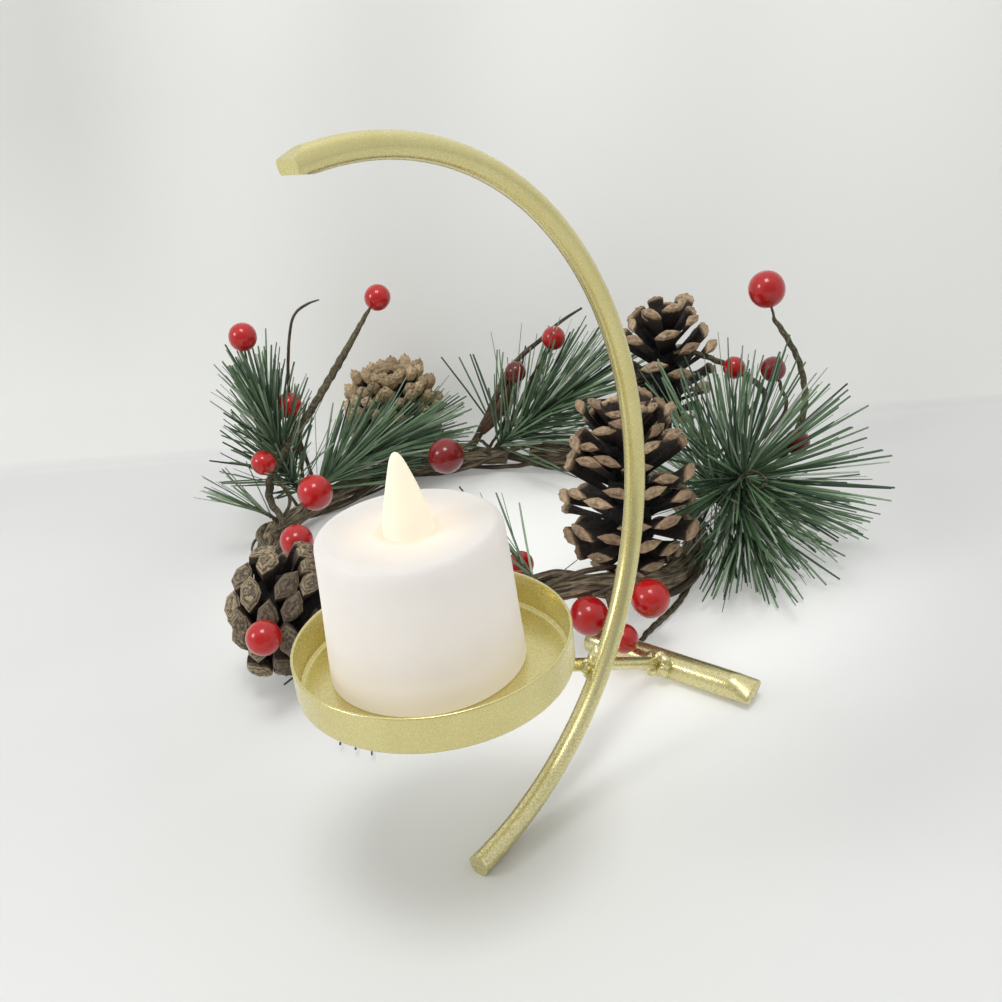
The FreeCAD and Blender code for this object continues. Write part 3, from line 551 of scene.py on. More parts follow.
# %% Where the arm crosses the ring
arm_start = Vector((dish_x, dish_y, dish_foot))
arm_end = Vector((foot_bar_x, 6.19, foot_bar_z))
arm_way = (arm_end - arm_start).normalized()
low, high = 0.5, 1.0
for _ in range(40):
    share = (low + high) / 2
    crossing = arm_start + (arm_end - arm_start) * share
    if math.hypot(crossing.x - ring_x, crossing.z - ring_z) < ring_radius:
        low = share
    else:
        high = share
print("the arm crosses the ring at", [round(value, 1) for value in crossing], "mm")

# %% Welds
dice = random.Random(4)


def ball(centre, radius, flat=1.0):
    """A ball for melt, moved a little by the dice."""
    jitter = Vector((dice.uniform(-0.3, 0.3), dice.uniform(-0.2, 0.2), dice.uniform(-0.3, 0.3)))
    return centre + jitter, radius, flat


arc_balls = []
for along, out, radius in ((-5.4, 0.2, 0.9), (-4.2, 0.4, 1.4), (-2.8, 0.9, 1.9), (-1.0, 1.2, 2.2),
                           (0.6, 1.0, 2.5), (2.2, 1.1, 2.4), (3.6, 0.6, 2.0), (4.8, 0.3, 1.2)):
    arc_balls.append(ball(crossing + Vector((0.5 * along, -1.7 - 0.2 * out, along)), radius))
for side, along, radius in ((-3.0, -1.0, 1.3), (-3.4, 1.2, 1.5), (-2.6, 2.8, 1.2), (2.6, -1.8, 1.2)):
    arc_balls.append(ball(crossing + Vector((side, -1.4, along)), radius))
land(melt(arc_balls, 0.35), "bead_at_the_ring", gold_paint, "stand", ["weld_arm_to_arc"])

foot_root = arm_end - arm_way * 4.5
foot_balls = []
for turn, along, radius in ((15, 0.7, 2.3), (60, 0.3, 1.9), (95, 1.3, 2.2), (140, 0.5, 2.3),
                            (172, -0.8, 2.1), (210, 0.9, 2.4), (255, 0.1, 1.7), (300, 0.8, 2.2),
                            (345, -1.1, 1.9), (30, 2.4, 1.3), (200, 2.6, 1.2)):
    a = math.radians(turn)
    flank = Vector((0, 1, 0)) * math.cos(a) * 3.1 + arm_way.cross(Vector((0, 1, 0))) * math.sin(a) * 2.6
    foot_balls.append(ball(foot_root + flank - arm_way * along, radius))
land(melt(foot_balls, 0.35), "bead_at_the_foot_bar", gold_paint, "stand", ["weld_arm_to_foot"])

dish_balls = []
for turn in range(0, 360, 36):
    a = math.radians(turn)
    rim = Vector((dish_x + 4.2 * math.cos(a), dish_y + 4.2 * math.sin(a), dish_foot - 0.7))
    dish_balls.append(ball(rim, 1.7, 0.6))
dish_balls.append((Vector((dish_x, dish_y, dish_foot - 0.8)), 5.2, 0.22))
land(melt(dish_balls, 0.4), "bead_under_the_dish", gold_paint, "stand", ["weld_arm_to_dish"])

# %% [markdown]
# Dish, candle, flame and berries are all turned shapes, so they come from one lathe: an outline of radius and
# height, spun in steps. It can also shift each level to one side, or let the radius waver round the shape.

# %% Lathe
def lathe(bm, outline, steps, place, shift=None, waver=None):
    """Spin an outline of (radius, height) pairs. A radius of 0 closes the shape in a point."""
    uv = map_layer(bm)
    rings = []
    for radius, level in outline:
        ring = []
        for k in range(1 if radius == 0 else steps):
            turn = 2 * math.pi * k / steps
            reach = radius + (waver(turn, level) if waver and radius else 0.0)
            offset = shift(level) if shift else Vector((0, 0, 0))
            ring.append(bm.verts.new(Vector(place) + offset
                                     + Vector((reach * math.cos(turn), reach * math.sin(turn), level))))
        rings.append(ring)
    count = len(rings)
    for i in range(count - 1):
        near, far = rings[i], rings[i + 1]
        for k in range(steps):
            n = (k + 1) % steps
            corners = [near[k % len(near)], near[n % len(near)], far[n % len(far)], far[k % len(far)]]
            corners = [c for j, c in enumerate(corners) if c not in corners[:j]]
            if len(corners) > 2:
                face = bm.faces.new(corners)
                for loop in face.loops:
                    level = i if loop.vert in near else i + 1
                    loop[uv].uv = (k / steps, level / (count - 1))
    return rings


# %% [markdown]
# The dish is pressed from sheet. Pressing leaves a small bead where the wall meets the floor, and the cut rim
# is rounded over. Both catch the light, so they are in the outline and not in a bump. Heights in each list
# below are measured from the dish's foot, its rim or its floor.

# %% Dish
dish_radius, dish_height, dish_wall, corner = 33.75, 10.0, 0.8, 1.6
dish_top, dish_floor, inside = dish_foot + dish_height, dish_foot + dish_wall, dish_radius - dish_wall
outer_corner = [(dish_radius - corner + corner * math.sin(a), dish_foot + corner - corner * math.cos(a))
                for a in map(math.radians, range(0, 91, 15))]
rounded_rim = [(0.0, 1.0), (0.0, 0.3), (0.1, 0.08), (0.3, 0.0), (0.5, 0.0), (0.7, 0.08), (dish_wall, 0.3),
               (dish_wall, 1.0)]
floor_bead = [(0.0, 1.2), (0.0, 0.7), (0.15, 0.4), (0.45, 0.34), (0.8, 0.24), (1.05, 0.04), (1.3, 0.0),
              (2.0, 0.0)]
outline = [(0.0, dish_foot), (20.0, dish_foot), (dish_radius - corner - 0.4, dish_foot)]
outline += outer_corner + [(dish_radius, dish_foot + 2.2)]
outline += [(dish_radius - inward, dish_top - down) for inward, down in rounded_rim]
outline += [(inside - inward, dish_floor + up) for inward, up in floor_bead]
outline += [(10.0, dish_floor), (0.0, dish_floor)]
bm = bmesh.new()
lathe(bm, outline, 128, (dish_x, dish_y, 0.0))
bmesh.ops.recalc_face_normals(bm, faces=bm.faces)
land(bm, "spun_dish", gold_paint, "stand", ["dish"])

# %% [markdown]
# The foot bar is round bar that was cut off in shears, so its near end is pinched nearly flat. A tube with a
# function that squeezes its last few millimetres into an ellipse gives that end.

# %% Foot bar
foot_bar_radius, foot_bar_near, foot_bar_far = 4.5, -26.0, 36.0
crimp_length, crimp_turn = 6.0, math.radians(154)


def crimp(turn, travel):
    """The bar's near end is pinched flat, like a chisel."""
    pinch = max(0.0, (travel - (foot_bar_far - foot_bar_near - crimp_length)) / crimp_length)
    wide, thin = 1.0 + 0.10 * pinch, 1.0 - 0.62 * pinch
    a = turn - crimp_turn
    return 1.0 / math.hypot(math.cos(a) / wide, math.sin(a) / thin)


bar_ys = [foot_bar_far, foot_bar_far - 0.4, foot_bar_far - 1.0, 30.0, 10.0, -10.0]
bar_ys += [foot_bar_near + 8.0, foot_bar_near + crimp_length]
bar_ys += [foot_bar_near + crimp_length - 0.9 * i for i in range(1, 7)] + [foot_bar_near + 0.2, foot_bar_near]
bar_radii = [foot_bar_radius - 0.5, foot_bar_radius - 0.12] + [foot_bar_radius] * (len(bar_ys) - 4)
bar_radii += [foot_bar_radius - 0.1, foot_bar_radius - 0.5]
bm = bmesh.new()
add_tube(bm, [Vector((foot_bar_x, y, foot_bar_z)) for y in bar_ys], bar_radii, 36, crimp)
land(bm, "crimped_foot_bar", gold_paint, "stand", ["foot_bar"])

# %% [markdown]
# The candle's sides are given a slow waver of a tenth of a millimetre, which is what tells wax from turned
# plastic. Its top edge is rounded and its top sinks a little towards the flame, like a burnt pool.

# %% Candle shell
shell_foot, shell_top, shell_inside, edge_round = 24.0, 22.3, 20.5, 2.6
side_height = candle_height - edge_round
outline = [(shell_inside, 0.0), (shell_foot - 0.4, 0.0), (shell_foot, 0.4)]
outline += [(shell_foot + (shell_top - shell_foot) * share, side_height * share)
            for share in (0.2, 0.4, 0.6, 0.8)]
outline += [(shell_top - edge_round + edge_round * math.cos(a), side_height + edge_round * math.sin(a))
            for a in map(math.radians, range(0, 91, 10))]
outline += [(radius, candle_height - depth) for radius, depth in
            ((16.0, 0.3), (12.0, 0.55), (9.0, 0.7), (6.3, 0.8), (6.3, 2.2), (shell_inside, 2.2))]
outline += [(shell_inside, 0.0)]


def wax_waver(turn, level):
    """Up to a tenth of a millimetre in or out."""
    return 0.12 * noise.noise(Vector((1.2 * math.cos(turn), 1.2 * math.sin(turn), level / 18.0)))


bm = bmesh.new()
lathe(bm, outline, 96, candle_foot, waver=wax_waver)
bmesh.ops.remove_doubles(bm, verts=bm.verts, dist=0.001)
bmesh.ops.recalc_face_normals(bm, faces=bm.faces)
land(bm, "wax_shell", candle_wax, "candle", ["candle_shell"])

# %% [markdown]
# The flame is a moulded drop that leans a little towards its tip. Below it a wider flange holds it under the
# candle's top, as the real one is held.

# %% Flame
flame_rows = [(0.0, 6.05), (0.06, 5.95), (0.14, 5.70), (0.25, 5.25), (0.36, 4.75), (0.48, 4.15), (0.60, 3.50),
              (0.71, 2.85), (0.81, 2.25), (0.89, 1.72), (0.945, 1.22), (0.98, 0.72)]
outline = [(radius, candle_height - depth) for radius, depth in
           ((0.0, 3.8), (5.6, 3.8), (8.3, 3.8), (8.3, 2.25), (6.1, 2.25), (6.1, 0.9))]
outline += [(radius, candle_height - 0.8 + (flame_height + 0.8) * share) for share, radius in flame_rows]
outline += [(0.0, candle_height + flame_height)]


def flame_lean(level):
    """How far each level stands to one side: more and more towards the tip."""
    share = max(0.0, (level - candle_height) / flame_height)
    return Vector((-0.3, 0.4, 0.0)) * share * share


bm = bmesh.new()
lathe(bm, outline, 48, candle_foot, shift=flame_lean)
bmesh.ops.recalc_face_normals(bm, faces=bm.faces)
land(bm, "lit_flame", flame_plastic, "candle", ["flame_tip"])

# %% Parts inside the candle
inner_finishes = {"base_cup": white_plastic, "battery_cover": white_plastic, "switch_knob": black_plastic,
                  "switch_body": black_plastic, "circuit_board": board_green, "coin_cell": cell_steel,
                  "contact_spring": cell_steel, "contact_side": cell_steel, "led": led_epoxy,
                  "led_leads": cell_steel, "base_screws": cell_steel}
for node, finish in inner_finishes.items():
    paint(node, finish)

# %% [markdown]
# The wreath is a ring of twisted vine. Its centre line is the one the CAD model uses: a circle that is drawn
# in at the left and lifted in front, where it passes over the foot bar. The main vine gets lengthwise
# grooves, knots and a slow twist, and thinner vines wind round it.

# %% The vine's path
wreath_x, wreath_y, wreath_radius = 137.0, 117.0, 89.0
vine_dia, vine_lay, vine_rise = 8.8, 8.0, 16.5


def wreath_point(angle, radius_share, height):
    """A place on the wreath, from its angle in degrees, a share of its radius and a height."""
    a = math.radians(angle)
    reach = wreath_radius * radius_share
    return Vector((wreath_x + reach * math.cos(a), wreath_y + reach * math.sin(a), height))


def hill(angle, centre, width):
    """1 at the centre angle, falling smoothly to 0 at width degrees from it."""
    away = abs((angle - centre + 180) % 360 - 180) / width
    return 0.5 + 0.5 * math.cos(math.pi * away) if away < 1 else 0.0


def vine_point(angle):
    """The vine's centre line: drawn in at 172 and 243 degrees and lifted at 240."""
    reach_share = 1 - 0.19 * hill(angle, 172, 60) - 0.075 * hill(angle, 243, 50)
    return wreath_point(angle, reach_share, vine_lay + vine_rise * hill(angle, 240, 46))


def vine_ridge(turn, travel):
    """Three sizes of grooves that twist along the vine, and slow swellings."""
    twist = turn + travel / 26.0
    ribs = 0.07 * math.sin(3 * twist) + 0.05 * math.sin(7 * twist + 1.3) + 0.025 * math.sin(13 * twist)
    seed = Vector((1.4 * math.cos(turn), 1.4 * math.sin(turn), travel / 14.0))
    return 1.0 + ribs + 0.16 * noise.noise(seed) + 0.05 * noise.noise(seed * 3.1)


bm = bmesh.new()
angles = [30 + 352 * i / 330 for i in range(331)]
radii = [vine_dia / 2 * 0.94 * (1 + 0.07 * math.sin(math.radians(7 * a))) for a in angles]
add_tube(bm, [vine_point(a) for a in angles], radii, 32, vine_ridge)
land(bm, "main_vine", vine_bark, "wreath", ["vine_ring"])

# %% [markdown]
# A thin vine that winds round a thick one follows a simple rule: it takes the thick vine's centre line, steps
# out by both radii, and turns steadily as it goes. A little noise lets it come away from the core in places.

# %% Vines wound round it
def vine_frame(angle):
    """A place on the centre line, with the ways ahead, out and up from it."""
    core = vine_point(angle)
    ahead = (vine_point(angle + 1) - core).normalized()
    out = ahead.cross(Vector((0, 0, 1))).normalized()
    return core, ahead, out, out.cross(ahead)


def wound_vine(start, sweep, turns, phase, dia, steps, stray):
    """Points on a thin vine that winds round the main one and strays a little from it."""
    points = []
    for i in range(steps + 1):
        angle = start + sweep * i / steps
        core, _, out, up = vine_frame(angle)
        w = math.radians(turns * angle + phase)
        off = vine_dia / 2 + dia / 2 - 0.3 + stray * (0.5 + 0.5 * noise.noise(Vector((i / 17.0, phase, 0))))
        point = core + out * (off * math.cos(w)) + up * (off * math.sin(w))
        point.z = max(point.z, dia / 2 + 0.3)
        points.append(point)
    return points


def thin_ridge(turn, travel):
    """Bark on a thin vine or twig."""
    seed = Vector((1.2 * math.cos(turn), 1.2 * math.sin(turn), travel / 7.0))
    return 1.0 + 0.08 * math.sin(3 * turn + travel / 9.0) + 0.22 * noise.noise(seed)


for name, node, start, phase in (("outer_thin_vine", "vine_wrap_outer", 75, 0),
                                 ("inner_thin_vine", "vine_wrap_inner", 250, 180)):
    bm = bmesh.new()
    way = wound_vine(start, 350, 5, phase, 3.0, 420, 0.4)
    add_tube(bm, way, spread([0.7, 1.5, 1.4, 1.6, 1.4, 1.5, 0.8], len(way)), 12, thin_ridge)
    land(bm, name, vine_bark, "wreath", [node])

bm = bmesh.new()
for start, sweep, turns, phase, dia in ((200, 120, 3, 60, 2.0), (330, 95, 4, 120, 2.2), (5, 75, 3, 250, 1.8),
                                        (60, 70, 3, 20, 2.0), (215, 80, 4, 300, 1.6)):
    way = wound_vine(start, sweep, turns, phase, dia, 110, 1.4)
    add_tube(bm, way, spread([0.3, dia / 2, dia / 2, 0.3], len(way)), 8, thin_ridge)
land(bm, "thin_twigs", thin_bark, "wreath")

# %% [markdown]
# Thin wire holds the vines together at five places. Each tie goes one and a half times round the bundle.

# %% Tie wires
tie_reach, tie_turns, tie_width, tie_steps = 7.2, 1.5, 2.4, 60
bm = bmesh.new()
for angle in (65, 160, 212, 300, 345):
    core, ahead, out, up = vine_frame(angle)
    points = []
    for i in range(tie_steps + 1):
        share = i / tie_steps
        w = 2 * math.pi * tie_turns * share
        turned = out * (tie_reach * math.cos(w)) + up * (tie_reach * math.sin(w))
        points.append(core + turned + ahead * (share - 0.5) * tie_width)
    add_tube(bm, points, [0.45] * len(points), 8)
land(bm, "twisted_ties", tie_wire, "wreath", ["wire_ties"])

# %% [markdown]
# A pine cone is a rule made visible. Its scales leave the core at the golden angle, 137.5 degrees from one to
# the next, and each is shaped by its height on the cone. Geometry nodes state that rule once: a row of
# points, a place and a turn for each from its number, and one given scale planted on every point.

# %% One scale
def closed_piece(bm, name):
    """Turn the faces outwards and make the object, for a node tree to plant."""
    bmesh.ops.recalc_face_normals(bm, faces=bm.faces)
    return bpy.data.objects.new(name, to_mesh(bm, name))


def scale_piece(name, stations, umbo):
    """A woody scale along +X, one unit long: stations are (x, half width, half thickness, lift)."""
    bm = bmesh.new()
    along = bm.verts.layers.float.new("along")
    rings = []
    for x, half, thick, lift in stations:
        shape = ((-1, 0), (-0.5, 0.68), (0, 1), (0.5, 0.68), (1, 0), (0.42, -0.75), (-0.42, -0.75))
        rings.append([bm.verts.new((x, y * half, z * thick + lift)) for y, z in shape])
        for vert in rings[-1]:
            vert[along] = x
    last_x, _, last_thick, last_lift = stations[-1]
    point = bm.verts.new((last_x + umbo, 0, last_lift + last_thick * 0.15))
    point[along] = 1.0
    for near, far in zip(rings, rings[1:]):
        for k in range(len(near)):
            n = (k + 1) % len(near)
            bm.faces.new((near[k], far[k], far[n], near[n]))
    for k in range(len(rings[-1])):
        n = (k + 1) % len(rings[-1])
        bm.faces.new((rings[-1][k], point, rings[-1][n]))
    bm.faces.new(rings[0])
    return closed_piece(bm, name)


open_scale = scale_piece(
    "open_scale", [(0.0, 0.14, 0.05, 0.0), (0.35, 0.26, 0.045, 0.0), (0.66, 0.38, 0.055, 0.01),
                   (0.82, 0.43, 0.11, 0.03), (0.90, 0.44, 0.165, 0.04), (0.965, 0.31, 0.125, 0.03),
                   (0.975, 0.15, 0.06, 0.03)], umbo=0.035)
closed_scale = scale_piece(
    "closed_scale", [(0.0, 0.18, 0.06, 0.0), (0.45, 0.34, 0.14, 0.0), (0.70, 0.45, 0.29, 0.0),
                     (0.86, 0.44, 0.30, 0.0), (0.94, 0.27, 0.19, 0.0), (0.95, 0.12, 0.08, 0.0)], umbo=0.05)

# %% The cone rule
golden_angle = math.radians(137.508)
cone_rule, given, results = new_group(
    "cone_rule", "GeometryNodeTree",
    {"Scales": ("Int", 60), "Length": ("Float", 60.0), "Radius": ("Float", 25.0),
     "Core Share": ("Float", 0.15), "Fullest": ("Float", 0.4), "Lift at Foot": ("Float", -10.0),
     "Lift at Tip": ("Float", 60.0), "Scale Width": ("Float", 11.0), "Scale Depth": ("Float", 11.0),
     "Seed": ("Int", 1), "Scale": ("Object", None), "Finish": ("Material", None)}, {"Geometry": "Geometry"})
t = cone_rule
number = add(t, "GeometryNodeInputIndex").outputs[0]
share = calc(t, "DIVIDE", calc(t, "ADD", number, 0.5), given["Scales"])
turn = calc(t, "MULTIPLY", number, golden_angle)


def chance(tree, low, high, seed):
    """A number between low and high, drawn anew for each scale or needle."""
    return add(tree, "FunctionNodeRandomValue", {2: low, 3: high, 8: seed}, data_type="FLOAT").outputs[1]


below = calc(t, "DIVIDE", share, given["Fullest"])
above = calc(t, "DIVIDE", calc(t, "SUBTRACT", 1.0, share), calc(t, "SUBTRACT", 1.0, given["Fullest"]))
level = calc(t, "MAXIMUM", calc(t, "MINIMUM", below, above), 0.0)
bulge = calc(t, "SINE", calc(t, "MULTIPLY", level, math.pi / 2))
full = calc(t, "ADD", 0.36, calc(t, "MULTIPLY", 0.64, bulge))
reach = calc(t, "MULTIPLY", given["Radius"], full)
lift_change = calc(t, "SUBTRACT", given["Lift at Tip"], given["Lift at Foot"])
lift_degrees = calc(t, "ADD", given["Lift at Foot"], calc(t, "MULTIPLY", share, lift_change))
lift_degrees = calc(t, "ADD", lift_degrees, chance(t, -10.0, 10.0, given["Seed"]))
lift = calc(t, "RADIANS", lift_degrees)
root_reach = calc(t, "MULTIPLY", calc(t, "MULTIPLY", given["Radius"], full), given["Core Share"])
scale_length = calc(t, "DIVIDE", calc(t, "SUBTRACT", reach, root_reach),
                    calc(t, "MAXIMUM", calc(t, "COSINE", lift), 0.5))
scale_length = calc(t, "MULTIPLY", scale_length, chance(t, 0.90, 1.06, calc(t, "ADD", given["Seed"], 3)))
root_height = calc(t, "MULTIPLY", given["Length"], calc(t, "ADD", 0.04, calc(t, "MULTIPLY", 0.80, share)))
place = vector_from(t, calc(t, "MULTIPLY", calc(t, "COSINE", turn), root_reach),
                    calc(t, "MULTIPLY", calc(t, "SINE", turn), root_reach), root_height)
points = add(t, "GeometryNodePoints", {0: given["Scales"], 1: place})
roll = calc(t, "RADIANS", chance(t, -16.0, 16.0, calc(t, "ADD", given["Seed"], 5)))
angles = vector_from(t, roll, calc(t, "MULTIPLY", lift, -1.0), turn)
size_by_height = calc(t, "ADD", 0.62, calc(t, "MULTIPLY", 0.38, full))
sizes = vector_from(t, scale_length, calc(t, "MULTIPLY", given["Scale Width"], size_by_height),
                    calc(t, "MULTIPLY", given["Scale Depth"], size_by_height))
model = add(t, "GeometryNodeObjectInfo", {0: given["Scale"], 1: True})
planted = add(t, "GeometryNodeInstanceOnPoints",
              {"Points": points.outputs[0], "Instance": model.outputs["Geometry"],
               "Rotation": add(t, "FunctionNodeEulerToRotation", {0: angles}).outputs[0], "Scale": sizes})


def finish_rule(tree, planted, tone, finish, result):
    """Give each planted piece its tone, make all of them real and set their material."""
    toned = add(tree, "GeometryNodeStoreNamedAttribute", {0: planted.outputs[0], 2: "tone", 3: tone},
                data_type="FLOAT", domain="INSTANCE")
    real = add(tree, "GeometryNodeRealizeInstances", {0: toned.outputs[0]})
    done = add(tree, "GeometryNodeSetMaterial", {0: real.outputs[0], 2: finish})
    tree.links.new(done.outputs[0], result)


finish_rule(t, planted, chance(t, 0.0, 1.0, calc(t, "ADD", given["Seed"], 9)), given["Finish"], results[0])

# %% [markdown]
# A rule works on nothing until a modifier runs it. The helper below puts the tree on a small mesh, sets the
# inputs by their identifiers, takes the result as a plain mesh and throws the helper object away.

# %% Run a rule
def grow(tree, base_mesh, **values):
    """Run a geometry node tree on a mesh and return what it made as a plain mesh."""
    piece = bpy.data.objects.new("grow", base_mesh)
    bpy.context.scene.collection.objects.link(piece)
    modifier = piece.modifiers.new("grow", "NODES")
    modifier.node_group = tree
    for item in tree.interface.items_tree:
        key = item.name.replace(" ", "_").lower()
        if item.item_type == "SOCKET" and item.in_out == "INPUT" and key in values:
            modifier[item.identifier] = values[key]
    graph = bpy.context.evaluated_depsgraph_get()
    grown = piece.evaluated_get(graph)
    mesh = bpy.data.meshes.new_from_object(grown, preserve_all_data_layers=True, depsgraph=graph)
    bpy.data.objects.remove(piece)
    print("grown with", [item.name for item in mesh.attributes if item.name in ("along", "tone")])
    return mesh


# %% [markdown]
# Four cones stand or lie on the wreath. Each gets the rule with its own numbers, and a spindle in its middle
# that the scales grow from, painted near black with the scales' root colour as painted shade. The spindle is
# narrow at its foot, where a short stalk is left.

# %% Four cones
core_rows = [(0.0, 0.0), (0.24, 0.0), (0.26, 0.045), (0.60, 0.075), (0.92, 0.16), (1.0, 0.35), (0.85, 0.62),
             (0.50, 0.82), (0.2, 0.91), (0.0, 0.92)]


def plant_cone(name, node, angle, radius_share, foot_height, axis, shape, finish, length, radius, core,
               **rule):
    """Grow a cone by the rule and set its foot at a place of the wreath, with its tip along the axis."""
    mesh = grow(cone_rule, bpy.data.meshes.new("seed"), length=length, radius=radius, core_share=core,
                scale=shape, finish=finish, **rule)
    bm = bmesh.new()
    bm.from_mesh(mesh)
    # The spindle carries no along number, so it takes the scales' painted shade at the root.
    lathe(bm, [(radius * (core + 0.16) * r, length * z) for r, z in core_rows], 16, (0, 0, 0))
    axis = Vector(axis).normalized()
    side = axis.cross(Vector((0, 0, 1)))
    side = side.normalized() if side.length > 0.1 else Vector((1, 0, 0))
    side = (side - axis * side.dot(axis)).normalized()
    placing = Matrix((side, axis.cross(side), axis)).transposed().to_4x4()
    bm.transform(Matrix.Translation(wreath_point(angle, radius_share, foot_height)) @ placing)
    land(bm, name, finish, "wreath", [node], smooth=False)


plant_cone("lying_cone", "cone_front_left", 170, 1.15, 25.2, (0.30, -0.95, 0.02), closed_scale, old_scales,
           length=50.2, radius=23.8, core=0.34, scales=66, fullest=0.30, lift_at_foot=0.0, lift_at_tip=58.0,
           scale_width=14.2, scale_depth=13.5, seed=10)
plant_cone("closed_cone", "cone_back_left", 60, 1.17, 1.5, (0.02, 0.04, 1.0), closed_scale, closed_scales,
           length=49.0, radius=24.5, core=0.36, scales=138, fullest=0.42, lift_at_foot=8.0, lift_at_tip=70.0,
           scale_width=8.8, scale_depth=10.5, seed=11)
plant_cone("open_cone", "cone_front_right", 270, 0.88, 15.3, (0.0, 0.0, 1.0), open_scale, open_scales,
           length=66.0, radius=25.0, core=0.15, scales=84, fullest=0.34, lift_at_foot=-14.0, lift_at_tip=60.0,
           scale_width=13.2, scale_depth=13.0, seed=9)
plant_cone("far_open_cone", "cone_back_right", 335, 1.08, 32.2, (-0.06, -0.04, 1.0), open_scale, open_scales,
           length=54.1, radius=21.5, core=0.13, scales=46, fullest=0.42, lift_at_foot=-4.0, lift_at_tip=64.0,
           scale_width=13.4, scale_depth=15.0, seed=13)

# %% [markdown]
# Berries are painted foam balls on wire. Each is a lathe shape with a small dark end where the wire comes
# out, turned so that the end faces its stem. Stems are paper tape over wire, thicker in the middle where the
# tape overlaps.

# %% Berries and their stems
berry_table = {
    # centre in mm, radius, tone (1 is bright, 0 is crimson), then the stem's way to the vine
    "left": [
        ((116, 213, 90), 6.0, 0.95,
         [(115.5, 213.3, 78), (114.6, 213.8, 62), (114.8, 213, 44), (117, 209.5, 25), (121, 204.6, 10)]),
        ((177, 194, 92), 5.9, 0.95,
         [(172.5, 195.2, 88.2), (170, 195.4, 86), (152.7, 197.5, 70), (133.5, 200, 53), (118, 202.6, 40),
          (109, 203.3, 31.7), (103.6, 200.5, 22.8), (102, 193, 15), (95.4, 195.2, 10)]),
        ((125, 203, 58), 5.6, 0.9, [(125, 203.5, 49), (126, 203, 36.8), (124.6, 205, 10)]),
        ((101, 196, 42), 5.2, 0.95, [(104, 194.4, 34), (107.8, 192.4, 22.7), (103.7, 199.5, 10)]),
        ((102, 167, 34), 7.3, 1.0, [(104, 168.5, 25.8), (98, 196.8, 10)]),
        ((76, 150, 28), 6.5, 0.9, [(77.7, 149, 21), (71.7, 161, 10)]),
        ((18.5, 98.5, 33), 5.85, 0.9, [(26, 106, 28), (44, 114, 20), (62, 121, 9)]),
    ],
    "back": [
        ((165, 153, 28), 8.0, 0.25, [(176, 157, 25), (195, 161, 22.7), (205, 163.4, 13.4), (207, 171.8, 10)]),
        ((226, 136, 65), 5.4, 0.75,
         [(224.8, 139, 58.5), (220.7, 147.7, 45), (216, 157, 25.7), (210.8, 166.8, 10)]),
        ((216, 152, 50), 5.0, 0.1, [(215.3, 154.4, 42), (213.6, 159.4, 26), (209, 169.3, 10)]),
    ],
    "right": [
        ((218, 27, 98), 7.0, 0.85,
         [(218.5, 24.5, 88), (218.8, 24, 86), (221, 20.3, 79), (223.4, 16, 68), (223, 13.6, 54),
          (219.6, 15.2, 42.8), (213.7, 21.5, 33.4), (193, 47.8, 10)]),
        ((227, 46, 62), 4.6, 0.8, [(229, 42.3, 57.4), (230, 38, 47.8), (203, 57.4, 10)]),
        ((231, 31, 62), 5.1, 0.3, [(231.6, 28.3, 55.5), (228, 27, 41.5), (201, 55.2, 10)]),
        ((215, 13, 40), 5.0, 0.0, [(212.4, 16.6, 34.9), (208.3, 23, 28.9), (193, 47.8, 10)]),
    ],
    "front": [
        ((100, 32, 17.5), 6.7, 0.75, [(101, 36, 20), (107, 41, 24)]),
        ((116, 18, 20), 6.7, 0.95, [(119, 24, 22), (121, 34, 20)]),
        ((98, 17, 14.5), 4.9, 0.85, [(103, 24, 18), (114, 36, 22)]),
        ((114, 72, 20), 5.0, 0.85, [(105, 62, 22), (94, 48, 25)]),
    ],
}


def add_berry(bm, centre, radius, tone, towards):
    """Add a berry to bm, with its dark end turned towards its stem."""
    tone_layer_of(bm)
    ball_mesh = bmesh.new()
    rows = 16
    outline = [(0.0, radius * 0.97)]
    for i in range(1, rows):
        a = math.pi * i / rows
        outline.append((radius * math.sin(a) * (1 + 0.02 * math.cos(2 * a)), radius * math.cos(a)))
    outline += [(radius * 0.10, -radius * 0.96), (radius * 0.08, -radius * 1.04), (0.0, -radius * 1.05)]
    lathe(ball_mesh, outline, 24, (0, 0, 0))
    bmesh.ops.recalc_face_normals(ball_mesh, faces=ball_mesh.faces)
    aim = (Vector(towards) - Vector(centre)).normalized()
    turned = (-aim).to_track_quat("Z", "Y").to_matrix().to_4x4()
    ball_mesh.transform(Matrix.Translation(Vector(centre)) @ turned)
    layer = tone_layer_of(ball_mesh)
    for vert in ball_mesh.verts:
        vert[layer] = tone
    mesh = to_mesh(ball_mesh, "berry")
    bm.from_mesh(mesh)
    bpy.data.meshes.remove(mesh)


def tape_ridge(turn, travel):
    """The edge of the tape, which winds round the wire, and its creases."""
    return 1.0 + 0.14 * math.sin(turn + travel / 0.9) + 0.10 * noise.noise(Vector((turn, travel / 2.5, 0)))


loose_stems = {
    "front": [([(112.5, 22.2, 2.6), (117, 22.6, 2.2), (122.1, 22.9, 2.7), (145.7, 25, 1.9), (165.6, 30.3, 5),
                (181.5, 39.9, 10.2)], [0.5, 0.9, 1.1, 1.2, 1.3, 0.9])],
    "right": [([(214, 66, 70), (218.5, 61.1, 69.5), (226, 51.8, 64), (232.8, 42.1, 56.2), (234.4, 36.3, 47),
                (226, 40, 28), (203, 57.4, 10.2)], [0.6, 1.0, 1.2, 1.3, 1.2, 1.1, 0.9]),
              ([(194, 24, 32), (179.7, 21.4, 33.4), (182.8, 20.1, 36.5), (185.7, 18.4, 38.5),
                (187.6, 15.7, 37.8), (188.6, 13.4, 35.9), (188.0, 12.3, 33.5), (185.8, 14.0, 32.4),
                (184.5, 16.6, 34.1), (184.7, 17.9, 36.2)], [0.5, 0.5])],
}
